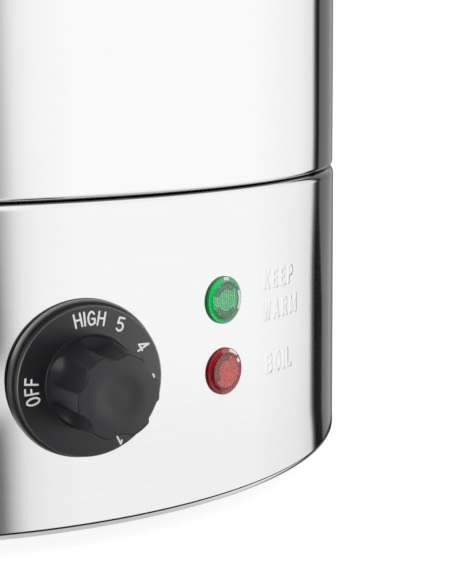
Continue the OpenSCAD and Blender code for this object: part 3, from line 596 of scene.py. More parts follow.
@dataclass(frozen=True)
class PaintedRimHighlight(Finish):
    """Glossy plastic round a level axis with a painted highlight: it pales towards its edge, but not
    at the axis's level.

    Attributes:
        azimuth: Where the axis leaves the urn, in degrees.
        height: Height of the axis.
        near: Distance from the axis at which the colour is the dark one.
        far: Distance from the axis at which the colour is the pale one.
        level: Distances above or below the axis between which the paling sets in.
        dark: The dark colour.
        pale: The pale colour of the painted highlight.
    """

    azimuth: float
    height: float
    near: float
    far: float
    level: tuple[float, float] = (5.0, 13.0)
    dark: Colour = (0.01, 0.01, 0.011)
    pale: Colour = (0.17, 0.17, 0.175)

    def dress(self, graph: Graph, shader: bpy.types.Node) -> None:
        """A blend by the distance from the axis: the root of along squared plus up squared."""
        gloss, sheen = 0.35, 0.16
        along, up = graph.beside(self.azimuth)
        up = up - self.height * MM
        away = graph.math("SQRT", along * along + up * up) * (1 / MM)
        aside = graph.math("ABSOLUTE", up) * (1 / MM)
        share = graph.ease(away, self.near, self.far) * graph.ease(aside, *self.level)
        # Painted highlight: the pale colour stands in for the light that the rim's edge catches.
        graph.feed(shader.inputs["Base Color"], graph.mix(share, rgba(self.dark), rgba(self.pale)))
        shader.inputs["Roughness"].default_value = gloss
        shader.inputs["Specular IOR Level"].default_value = sheen


class Slot(Enum):
    """Every material slot of the urn, with its finish."""

    POLISHED_STEEL = Metal("polished_steel", (0.9, 0.905, 0.905), 0.04, 0.2, 0.004, groove=SEAM)
    SATIN_STEEL = Metal("satin_steel", (0.875, 0.88, 0.88), 0.07, 0.3, 0.012, 0.0002, SEAM)
    PLAIN_STEEL = Metal("plain_steel", (0.62, 0.62, 0.61), 0.28, 0.6, 0.1, 0.003)
    CHROMED_BRASS = Metal("chromed_brass", (0.86, 0.87, 0.88), 0.06, 0.3, 0.02)
    BLACK_PLASTIC = Moulding("black_plastic", (0.0105, 0.0105, 0.012), 0.36, 0.13, 0.35, 0.004)
    RUBBER_BLACK = Moulding("rubber_black", (0.03, 0.03, 0.03), 0.7, 0.3, 0.6, 0.02)
    SILICONE = Moulding("silicone", (0.62, 0.6, 0.57), 0.5, 0.4, 0.8, 0.01)
    LENS_GREEN = Clear("lens_green", (0.5, 0.92, 0.66), 0.05, 1.49, 0.85)
    LENS_RED = Clear("lens_red", (0.9, 0.36, 0.34), 0.05, 1.49, 0.85)
    CLEAR_GLASS = Clear("clear_glass")
    BARE_BRASS = Metal("bare_brass", (0.78, 0.6, 0.3), 0.25, 0.6, 0.08, 0.002)
    COPPER_TUBE = Metal("copper_tube", (0.82, 0.46, 0.3), 0.22, 0.6, 0.12)
    ELEMENT_SHEATH = Metal("element_sheath", (0.42, 0.4, 0.38), 0.42, 0.7, 0.15)
    CREAM_MOULDING = Moulding("cream_moulding", (0.7, 0.63, 0.48), 0.5)
    PORCELAIN = Moulding("porcelain", (0.83, 0.81, 0.76), 0.6, 0.4, 0.4, 0.02)
    WIRE_SLEEVE = Moulding("wire_sleeve", (0.3, 0.07, 0.05), 0.6, 0.3, 0.7, 0.05)
    RED_PLASTIC = Moulding("red_plastic", (0.6, 0.045, 0.035), 0.3)

    @property
    def key(self) -> str:
        """The slot's name in the record."""
        return self.name.lower()

    @property
    def material(self) -> bpy.types.Material:
        """The slot's material."""
        return self.value.material()


class Extra(Enum):
    """Finishes of parts of a piece that have no slot of their own."""

    DIAL_PRINT = Moulding("dial_print", (0.9, 0.9, 0.89), 0.5, 0.4, 0.3, 0.002)
    # Painted highlight on the knob's rim, paling towards its edge above and below the axis.
    KNOB_RIM = PaintedRimHighlight("knob_rim", KNOB_AZIMUTH, KNOB_HEIGHT, 23.2, 24.15)
    # Painted highlight: a lighter copy of the black plastic on the dial's rounded edge.
    KNOB_EDGE = Moulding("knob_edge", (0.035, 0.035, 0.037), 0.3, 0.5, 0.35, 0.001)
    # Painted shade: dark grey on the spans of a lens's inner ring that lie in shade.
    LENS_RING = Moulding("lens_ring", (0.075, 0.085, 0.08), 0.4, 0.4)
    # Painted glints: near white on the spans where a lens's flange and cap edge catch light.
    LENS_GLINT = Moulding("lens_glint", (0.8, 0.82, 0.8), 0.2, 0.6, 0.3, 0.0005)
    # Painted shade: darker opaque copies of the tints on the lenses' flange edges.
    GREEN_RIM = Moulding("green_rim", (0.035, 0.25, 0.09), 0.3, 0.2, 0.3, 0.0005)
    RED_RIM = Moulding("red_rim", (0.34, 0.012, 0.022), 0.3, 0.2, 0.3, 0.0005)
    GREEN_SIDE = Clear("green_side", (0.006, 0.85, 0.2), 0.08, 1.49, 0.35)
    RED_SIDE = Clear("red_side", (0.42, 0.003, 0.015), 0.08, 1.49, 0.35)
    # Painted light: paler copies of the side tints, where light from the right fills a lens's side.
    GREEN_PALE = Clear("green_pale", (0.16, 0.66, 0.36), 0.08, 1.49, 0.35)
    RED_PALE = Clear("red_pale", (0.62, 0.16, 0.14), 0.08, 1.49, 0.35)
    GREEN_FACE = Ribbed("green_face", LAMP_AZIMUTH, (0.11, 0.4, 0.19), (0.29, 0.68, 0.38),
                        (0.0,), 0.95)
    RED_FACE = Ribbed("red_face", LAMP_AZIMUTH, (0.48, 0.12, 0.11), (0.8, 0.3, 0.27),
                      (32.0, -32.0), 1.0)

    @property
    def material(self) -> bpy.types.Material:
        """The finish's material."""
        return self.value.material()


# ---------- stroke lettering ----------


@dataclass(frozen=True)
class Glyph:
    """A character drawn as strokes in a box one unit high.

    Attributes:
        width: Width of the box, as a share of its height.
        strokes: Centre lines; each is a list of points in the box.
    """

    width: float
    strokes: tuple[Array, ...]


def stroke(*points: tuple[float, float]) -> Array:
    """A centre line through given points."""
    return np.array(points, float)


def bow(u: float, v: float, wide: float, high: float, start: float, end: float,
        steps: int = 16) -> Array:
    """A centre line along part of an ellipse: centre plus half axes times cosine and sine."""
    angle = np.radians(np.linspace(start, end, steps + 1))
    return np.column_stack([u + wide * np.cos(angle), v + high * np.sin(angle)])


def letter_glyphs() -> dict[str, Glyph]:
    """The characters of the dial and of the two words beside the lamps."""
    bowl = np.vstack([stroke((0, 1)), bow(0.24, 0.76, 0.24, 0.24, 90, -90), stroke((0, 0.52))])
    low_bowl = np.vstack([stroke((0, 0.52)), bow(0.26, 0.26, 0.26, 0.26, 90, -90), stroke((0, 0))])
    two = np.vstack([bow(0.25, 0.75, 0.25, 0.25, 165, -20), stroke((0, 0), (0.52, 0))])
    three = (bow(0.23, 0.76, 0.24, 0.24, 140, -90), bow(0.23, 0.26, 0.27, 0.26, 90, -140))
    five = np.vstack([stroke((0.47, 1), (0.07, 1), (0.03, 0.56)),
                      bow(0.24, 0.31, 0.26, 0.31, 115, -145)])
    curl = np.vstack([bow(0.26, 0.5, 0.26, 0.5, 40, 300, 28), stroke((0.52, 0.12), (0.52, 0.46))])
    stem = stroke((0, 0), (0, 1))
    return {
        "A": Glyph(0.52, (stroke((0, 0), (0.26, 1), (0.52, 0)), stroke((0.09, 0.33), (0.43, 0.33)))),
        "B": Glyph(0.5, (stem, bowl, low_bowl)),
        "E": Glyph(0.44, (stroke((0.44, 1), (0, 1), (0, 0), (0.44, 0)),
                          stroke((0, 0.52), (0.38, 0.52)))),
        "F": Glyph(0.42, (stroke((0.42, 1), (0, 1), (0, 0)), stroke((0, 0.52), (0.36, 0.52)))),
        "G": Glyph(0.52, (curl, stroke((0.52, 0.46), (0.3, 0.46)))),
        "H": Glyph(0.5, (stem, stroke((0.5, 0), (0.5, 1)), stroke((0, 0.52), (0.5, 0.52)))),
        "I": Glyph(0.0, (stem,)),
        "K": Glyph(0.5, (stem, stroke((0.48, 1), (0, 0.42)), stroke((0.14, 0.58), (0.5, 0)))),
        "L": Glyph(0.44, (stroke((0, 1), (0, 0), (0.44, 0)),)),
        "M": Glyph(0.76, (stroke((0, 0), (0, 1), (0.38, 0.12), (0.76, 1), (0.76, 0)),)),
        "O": Glyph(0.5, (bow(0.25, 0.5, 0.25, 0.5, 0, 360, 32),)),
        "P": Glyph(0.46, (stem, bowl)),
        "R": Glyph(0.48, (stem, bowl, stroke((0.22, 0.52), (0.48, 0)))),
        "W": Glyph(0.6425, (stroke((0, 1), (0.15, 0), (0.32, 0.9), (0.49, 0), (0.64, 1)),)),
        "1": Glyph(0.2, (stroke((0, 0.8), (0.2, 1), (0.2, 0)),)),
        "2": Glyph(0.52, (two,)),
        "3": Glyph(0.5, three),
        "4": Glyph(0.54, (stroke((0.4, 0), (0.4, 1), (0, 0.3), (0.54, 0.3)),)),
        "5": Glyph(0.5, (five,)),
    }


GLYPHS = letter_glyphs()


def stroke_distance(points: Array, strokes: Sequence[Array]) -> Array:
    """Distance of each point from the nearest centre line: the least distance to any stretch.

    Args:
        points: Rows of two coordinates.
        strokes: Centre lines in the same units.

    Returns:
        One distance for each point.
    """
    best = np.full(len(points), np.inf)
    for line in strokes:
        for a, b in zip(line, line[1:]):
            side = b - a
            share = np.clip((points - a) @ side / max(float(side @ side), 1e-12), 0, 1)
            best = np.minimum(best, np.linalg.norm(points - a - share[:, None] * side, axis=1))
    return best


def written(text: str, height: float, gap: float) -> tuple[list[Array], float]:
    """Centre lines of a word, set from left to right.

    Args:
        text: The characters.
        height: Height of their boxes.
        gap: Distance between two boxes.

    Returns:
        The centre lines, and the word's width.
    """
    lines, reach = [], 0.0
    for letter in text:
        glyph = GLYPHS[letter]
        lines += [line * height + np.array([reach, 0.0]) for line in glyph.strokes]
        reach += glyph.width * height + gap
    return lines, reach - gap


# ---------- steel walls ----------


@dataclass(frozen=True)
class Hole:
    """A hole through a wall.

    Attributes:
        azimuth: Where its centre lies, in degrees.
        height: Height of its centre.
        wide: Half its width.
        high: Half its height.
        round: Whether it is an ellipse; otherwise it is a rectangle.
    """

    azimuth: float
    height: float
    wide: float
    high: float
    round: bool = True

    def edge(self, angle: Array) -> Array:
        """Points of its edge in the directions of given angles."""
        ray = np.column_stack([np.cos(angle), np.sin(angle)])
        size = np.array([self.wide, self.high])
        if self.round:
            return ray * size
        return ray / np.abs(ray / size).max(1)[:, None]


@dataclass
class SteelWall:
    """A turned sheet of steel with holes: an outer and an inner skin that meet at both edges.

    Attributes:
        name: Name of the piece.
        outer: Outline of the outer skin, from the bottom up.
        thick: Thickness of the sheet.
        holes: Holes through its straight part.
        cols: Number of points round the urn.
    """

    name: str
    outer: Outline
    thick: float
    holes: tuple[Hole, ...] = ()
    cols: int = 240

    def __post_init__(self) -> None:
        """Work out rows, radii and normals of both skins."""
        path = np.array(self.outer.points)
        first = np.array([pair[0] for pair in self.outer.normals])
        last = np.array([pair[1] for pair in self.outer.normals])
        before = np.vstack([first[:1], last])
        after = np.vstack([first, last[-1:]])
        mean = before + after
        inward = path - self.thick * 2 * mean / (mean * mean).sum(1)[:, None]
        self.rows = len(path)
        self.profile = np.vstack([path, inward[::-1], path[:1]])
        self.first = np.vstack([first, [[0, 1]], -last[::-1], [[0, -1]]])
        self.last = np.vstack([last, [[0, 1]], -first[::-1], [[0, -1]]])

    def point(self, azimuth: Array, radius: Array, height: Array) -> Array:
        """Points at given azimuths in degrees, radii and heights."""
        turn = np.radians(azimuth)
        return np.column_stack([radius * np.sin(turn), -radius * np.cos(turn), height])

    def cells(self, hole: Hole, margin: float) -> tuple[int, int, int, int]:
        """The block of outer cells round a hole: its first and last row and column."""
        step = 360 / self.cols
        radius = self.profile[self.rows // 2, 0]
        reach = math.degrees((hole.wide + margin) / radius)
        left = math.floor((hole.azimuth - reach) / step)
        right = math.ceil((hole.azimuth + reach) / step)
        wall = self.profile[:self.rows, 1]
        low = int(np.searchsorted(wall, hole.height - hole.high - margin, "right")) - 1
        high = int(np.searchsorted(wall, hole.height + hole.high + margin, "left"))
        return low, high, left, right

    def loop(self, block: tuple[int, int, int, int]) -> Array:
        """Row and column of the points round a block, counted against the clock from outside."""
        low, high, left, right = block
        across, up = np.arange(left, right), np.arange(low, high)
        sides = [(np.full(len(across), low), across),
                 (up, np.full(len(up), right)),
                 (np.full(len(across), high), across[::-1] + 1),
                 (up[::-1] + 1, np.full(len(up), left))]
        return np.vstack([np.column_stack(side) for side in sides])

    def collar(self, hole: Hole, start: int) -> tuple[Array, Array, Array, Array]:
        """The faces between a hole's lip and the grid round it, on both skins, and the lip.

        Args:
            hole: The hole.
            start: Index of the first new point.

        Returns:
            New points, new faces, the profile side of each or -1 on the lip, and the grid's faces
            that give way.
        """
        cols, margin = self.cols, 1.0
        block = self.cells(hole, margin)
        low, high, left, right = block
        rows_here, cols_here = np.arange(low, high), np.arange(left, right) % cols
        both_skins = np.concatenate([rows_here, 2 * self.rows - 2 - rows_here])
        gone = (both_skins[:, None] * cols + cols_here).ravel()
        loop = self.loop(block)
        count = len(loop)
        radius = self.profile[low, 0]
        flat = np.column_stack([np.radians(loop[:, 1] * 360 / cols - hole.azimuth) * radius,
                                self.profile[loop[:, 0], 1] - hole.height])
        edge = hole.edge(np.arctan2(flat[:, 1], flat[:, 0]))
        turn = hole.azimuth + np.degrees(edge[:, 0] / radius)
        height = hole.height + edge[:, 1]
        points = np.vstack([self.point(turn, np.full(count, skin), height)
                            for skin in (radius, radius - self.thick)])
        out_edge = start + np.arange(count)
        in_edge = out_edge + count
        out_loop = loop[:, 0] * cols + loop[:, 1] % cols
        in_loop = (2 * self.rows - 1 - loop[:, 0]) * cols + loop[:, 1] % cols
        after = np.roll(np.arange(count), -1)
        faces = np.vstack([np.column_stack([out_loop, out_loop[after], out_edge[after], out_edge]),
                           np.column_stack([in_edge, in_edge[after], in_loop[after], in_loop]),
                           np.column_stack([out_edge, out_edge[after], in_edge[after], in_edge])])
        return points, faces, np.repeat([low, 2 * self.rows - 2 - low, -1], count), gone

    def shape(self) -> tuple[Shape, Array]:
        """The wall as a grid with its holes cut out.

        Returns:
            The shape, and for each face the profile side that it lies on, or -1 on a hole's lip.
        """
        rows, cols = len(self.profile) - 1, self.cols
        azimuth = np.tile(np.arange(cols) * 360 / cols, rows)
        ring = np.repeat(np.arange(rows), cols)
        points = self.point(azimuth, self.profile[ring, 0], self.profile[ring, 1])
        keep = np.ones(len(ring), bool)
        extra_faces: list[Array] = []
        extra_sides: list[Array] = []
        for hole in self.holes:
            new_points, new_faces, new_sides, gone = self.collar(hole, len(points))
            points = np.vstack([points, new_points])
            keep[gone] = False
            extra_faces.append(new_faces)
            extra_sides.append(new_sides)
        faces = np.vstack([(grid_faces(rows + 1, cols) % (rows * cols))[keep], *extra_faces])
        return Shape(points, faces.tolist()), np.concatenate([ring[keep], *extra_sides])

    def object(self, material: bpy.types.Material,
               relief: "Relief | None" = None) -> bpy.types.Object:
        """Make the wall, its pressed relief and its exact normals.

        Args:
            material: The sheet's material.
            relief: Words and marks that are pressed outward.

        Returns:
            The new object.
        """
        shape, sides = self.shape()
        piece = shape.object(self.name, [material])
        mesh = piece.data
        layer = mesh.attributes.new("side", "INT", "FACE")
        layer.data.foreach_set("value", sides.astype(np.int32))
        if relief:
            relief.refine(mesh)
            LOG.info("%s: %d faces with its relief", self.name, len(mesh.polygons))
        self.set_normals(mesh, relief)
        return piece

    def set_normals(self, mesh: bpy.types.Mesh, relief: "Relief | None") -> None:
        """Give each corner the normal of its own profile side, leaned by the relief's slope."""
        corner_point = fetched(mesh.loops, "vertex_index", np.int32)
        count = len(corner_point)
        totals = fetched(mesh.polygons, "loop_total", np.int32)
        side = np.repeat(fetched(mesh.attributes["side"].data, "value", np.int32), totals)
        normals = fetched(mesh.corner_normals, "vector", np.float32, 3).astype(float)
        place = fetched(mesh.vertices, "co", np.float32, 3)[corner_point] / MM
        turned_side = side >= 0
        here = self.profile[np.clip(side, 0, None)]
        there = self.profile[np.clip(side, 0, None) + 1]
        radius = np.hypot(place[:, 0], place[:, 1])
        from_here = np.hypot(radius - here[:, 0], place[:, 2] - here[:, 1])
        from_there = np.hypot(radius - there[:, 0], place[:, 2] - there[:, 1])
        flat = np.where((from_here <= from_there)[:, None], self.first[side], self.last[side])
        turn = np.arctan2(place[:, 0], -place[:, 1])
        if relief:
            slope = relief.slope(turn, place[:, 2])
            outer = (side < self.rows - 1)[:, None]
            slope = np.where(outer & turned_side[:, None], slope, 0.0)
        else:
            slope = np.zeros((count, 2))
        outward = np.column_stack([np.sin(turn), -np.cos(turn), np.zeros(count)])
        along = np.column_stack([np.cos(turn), np.sin(turn), np.zeros(count)])
        up = np.array([0, 0, 1])
        exact = outward * flat[:, :1] + up * flat[:, 1:]
        exact = exact - along * slope[:, :1] - up * slope[:, 1:]
        exact /= np.linalg.norm(exact, axis=1)[:, None]
        normals[turned_side] = exact[turned_side]
        mesh.attributes.remove(mesh.attributes["side"])
        mesh.normals_split_custom_set(normals.tolist())
        mesh.update()


@dataclass(frozen=True)
class Word:
    """A word pressed outward into the wall.

    Attributes:
        text: Its letters.
        start: Distance of its left edge from the tap, along the wall.
        foot: Height of its lower edge.
        height: Height of its strokes' boxes.
        gap: Distance between two letters.
    """

    text: str
    start: float
    foot: float
    height: float
    gap: float = 2.0

    def lines(self) -> list[Array]:
        """Its centre lines on the unrolled wall."""
        lines, _ = written(self.text, self.height, self.gap)
        return [line + np.array([self.start, self.foot]) for line in lines]


@dataclass
class Relief:
    """Strokes that are pressed outward from a wall.

    The height is the greatest height times a smooth step that falls with the distance from the
    nearest centre line.

    Attributes:
        radius: The wall's radius.
        lines: Centre lines on the unrolled wall.
        rise: Height of the strokes.
        reach: Distance from a centre line at which the relief has died out.
        grain: Size of the refined faces.
        skin: How far from the wall's radius a point may lie to count as on its outer skin.
    """

    radius: float
    lines: list[Array]
    rise: float = 0.3
    reach: float = 1.1
    grain: float = 0.22
    skin: float = 0.3

    def height(self, unrolled: Array) -> Array:
        """Height of the relief at points of the unrolled wall."""
        return self.rise * smoothstep(1 - stroke_distance(unrolled, self.lines) / self.reach)

    def slope(self, turn: Array, height: Array) -> Array:
        """Slope of the relief along and up the wall, from small steps to both sides.

        Args:
            turn: Azimuth of each point in radians.
            height: Height of each point.

        Returns:
            Two slopes for each point.
        """
        step = 0.02
        slope = np.zeros((len(turn), 2))
        unrolled = np.column_stack([turn * self.radius, height])
        near = self.near(unrolled)
        for axis in range(2):
            shift = np.zeros(2)
            shift[axis] = step
            rise = self.height(unrolled[near] + shift) - self.height(unrolled[near] - shift)
            slope[near, axis] = rise / (2 * step)
        return slope

    def bounds(self) -> tuple[Array, Array]:
        """The relief's lowest left and highest right corner on the unrolled wall."""
        every = np.vstack(self.lines)
        return every.min(0) - self.reach, every.max(0) + self.reach

    def near(self, unrolled: Array) -> Array:
        """Whether each point lies within the relief's bounds."""
        low, high = self.bounds()
        return ((unrolled >= low) & (unrolled <= high)).all(1)

    def refine(self, mesh: bpy.types.Mesh) -> None:
        """Cut the wall's faces under the strokes into fine ones and press them outward."""
        least_half = 1.0
        low, high = self.bounds()
        work = bmesh.new()
        work.from_mesh(mesh)
        chosen = set()
        for face in work.faces:
            centre = face.calc_center_median() / MM
            spot = np.array([math.atan2(centre.x, -centre.y) * self.radius, centre.z])
            half = max(face.calc_perimeter() / 8 / MM, least_half)
            outer = abs(math.hypot(centre.x, centre.y) - self.radius) < self.skin
            if outer and (spot > low - half).all() and (spot < high + half).all():
                chosen.update(face.edges)
        longest = max(edge.calc_length() for edge in chosen) / MM
        cuts = math.ceil(longest / self.grain) - 1
        bmesh.ops.subdivide_edges(work, edges=list(chosen), cuts=cuts, use_grid_fill=True)
        work.to_mesh(mesh)
        work.free()
        place = fetched(mesh.vertices, "co", np.float32, 3).astype(float) / MM
        turn = np.arctan2(place[:, 0], -place[:, 1])
        radius = np.hypot(place[:, 0], place[:, 1])
        unrolled = np.column_stack([turn * self.radius, place[:, 2]])
        near = (np.abs(radius - self.radius) < self.skin) & self.near(unrolled)
        pressed = self.radius + self.height(unrolled[near])
        place[near, 0] = pressed * np.sin(turn[near])
        place[near, 1] = -pressed * np.cos(turn[near])
        mesh.vertices.foreach_set("co", (place * MM).astype(np.float32).ravel())
        mesh.update()


@dataclass
class Panel:
    """Where the controls sit on the base.

    Attributes:
        turn: Azimuth of the knob.
        lamp_turn: Azimuth of the lamps.
        knob_drop: Distance of the knob's centre below the seam.
        lamp_drops: Distances of the lamps below the seam.
        neck_rise: Height of the base's neck over the seam.
    """

    turn: float = KNOB_AZIMUTH
    lamp_turn: float = LAMP_AZIMUTH
    knob_drop: float = 53.4
    lamp_drops: tuple[float, float] = (35.3, 58.4)
    neck_rise: float = 9.0


@dataclass
class Tank:
    """The tank's polished wall, curled in at the bottom and beaded at the rim.

    Attributes:
        radius: Its outer radius.
        thick: Thickness of the sheet.
        curl: Radius of the curl over the seam.
        curl_in: How far the curl's lower edge runs on inward.
        bead: Radius of the bead at the rim.
        tap_height: Height of the tap's hole over the wall's bottom edge.
        tap_hole: Radius of the tap's hole.
    """

    radius: float = 150.0
    thick: float = 0.8
    curl: float = 1.7
    curl_in: float = 5.8
    bead: float = 2.6
    tap_height: float = 41.95
    tap_hole: float = 8.1

    def __post_init__(self) -> None:
        """Take the wall's heights from the frame."""
        low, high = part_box("tank_shell")
        self.low = low.z / MM
        self.rim = high.z / MM - self.bead

    def build(self) -> None:
        """Make the wall and let it stand for the CAD's."""
        longest = 4.0
        bead_u = self.radius - self.thick + self.bead
        curl_u = self.radius - self.curl
        outline = Outline(curl_u - self.curl_in, self.low).line(curl_u, self.low)
        outline.arc(curl_u, self.low + self.curl, self.curl, -90, 0, 14)
        outline.line(self.radius, self.rim, longest)
        outline.arc(bead_u, self.rim, bead_u - self.radius, 180, -90, 30)
        hole = Hole(0.0, self.low + self.tap_height, self.tap_hole, self.tap_hole)
        wall = SteelWall("tank_wall", outline, self.thick, (hole,))
        piece = wall.object(Slot.POLISHED_STEEL.material)
        place_piece(piece, "urn", Slot.POLISHED_STEEL, "tank_shell")


@dataclass
class Base:
    """The base's brushed wall, with the holes and the pressed words of its control panel.

    Attributes:
        panel: Where the controls sit.
        thick: Thickness of the sheet.
        hem: Radius of the rolled lower edge.
        hem_in: Radius at which that edge ends under the base.
        shoulder: Radius of the shoulder under the seam.
        shoulder_gap: Distance of the shoulder below the seam.
        knob_hole: Radius of the hole behind the knob.
        lamp_hole: Radius of the holes behind the lenses.
        inlet: The opening for the mains inlet.
        inlet_screws: Distance of its screw holes to either side.
        screw_hole: Radius of these holes.
    """

    panel: Panel
    thick: float = 0.8
    hem: float = 2.8
    hem_in: float = 139.0
    shoulder: float = 3.0
    shoulder_gap: float = 0.05
    knob_hole: float = 5.0
    lamp_hole: float = 6.0
    inlet: Hole = Hole(180.0, 52.0, 15.5, 11.5, round=False)
    inlet_screws: float = 20.0
    screw_hole: float = 1.8

    def __post_init__(self) -> None:
        """Take the wall's sizes from the frame."""
        low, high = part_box("base_shell")
        self.low = low.z / MM
        self.radius = high.x / MM
        self.high = high.z / MM
        self.seam = self.high - self.panel.neck_rise

    def words(self) -> list[Word]:
        """The words beside the lamps: a function for the upper and for the lower one."""
        return [Word("KEEP", 149.4, 75.1, 5.25, 2.7),
                Word("WARM", 148.8, 64.7, 5.3, 2.85),
                Word("BOIL", 150.5, 46.6, 5.7, 2.5)]

    def holes(self) -> tuple[Hole, ...]:
        """The holes for the knob's shaft, the lamps, and the mains inlet with its screws."""
        panel, inlet, screw = self.panel, self.inlet, self.screw_hole
        shaft = Hole(panel.turn, self.seam - panel.knob_drop, self.knob_hole, self.knob_hole)
        lamps = [Hole(panel.lamp_turn, self.seam - drop, self.lamp_hole, self.lamp_hole)
                 for drop in panel.lamp_drops]
        screws = [Hole(inlet.azimuth + math.degrees(x / self.radius), inlet.height, screw, screw)
                  for x in (-self.inlet_screws, self.inlet_screws)]
        return shaft, *lamps, inlet, *screws

    def build(self) -> None:
        """Make the wall and let it stand for the CAD's."""
        longest = 3.5
        top = self.seam - self.shoulder_gap
        outline = Outline(self.hem_in, self.low).line(self.radius - self.hem, self.low, longest)
        outline.arc(self.radius - self.hem, self.low + self.hem, self.hem, -90, 0, 16)
        outline.line(self.radius, top - self.shoulder, longest)
        neck = self.radius - self.shoulder
        outline.arc(neck, top - self.shoulder, self.shoulder, 0, 90, 14)
        outline.line(neck, self.high)
        lines = [line for word in self.words() for line in word.lines()]
        relief = Relief(self.radius, lines)
        wall = SteelWall("base_wall", outline, self.thick, self.holes())
        piece = wall.object(Slot.SATIN_STEEL.material, relief)
        place_piece(piece, "urn", Slot.SATIN_STEEL, "base_shell")


# ---------- controls ----------


@dataclass(frozen=True)
class Mark:
    """A number or a word on the dial.

    Attributes:
        text: Its characters.
        at: Angle of its middle, in degrees from the dial's right towards its top.
        gap: Distance between two characters.
        middle: Distance of the characters' middles from the dial's centre.
        lean: Turn of each character against the clock, in degrees.
    """

    text: str
    at: float
    gap: float = 0.0
    middle: float = 19.1
    lean: float = 0.0


DIAL_MARKS = (Mark("HIGH", 90.0, 1.15), Mark("5", 59.6, lean=14.0), Mark("4", 29.0),
              Mark("3", -1.6, middle=18.3), Mark("2", -32.2), Mark("1", -64.6, middle=20.0),
              Mark("OFF", 183.3, 1.25, 18.5))


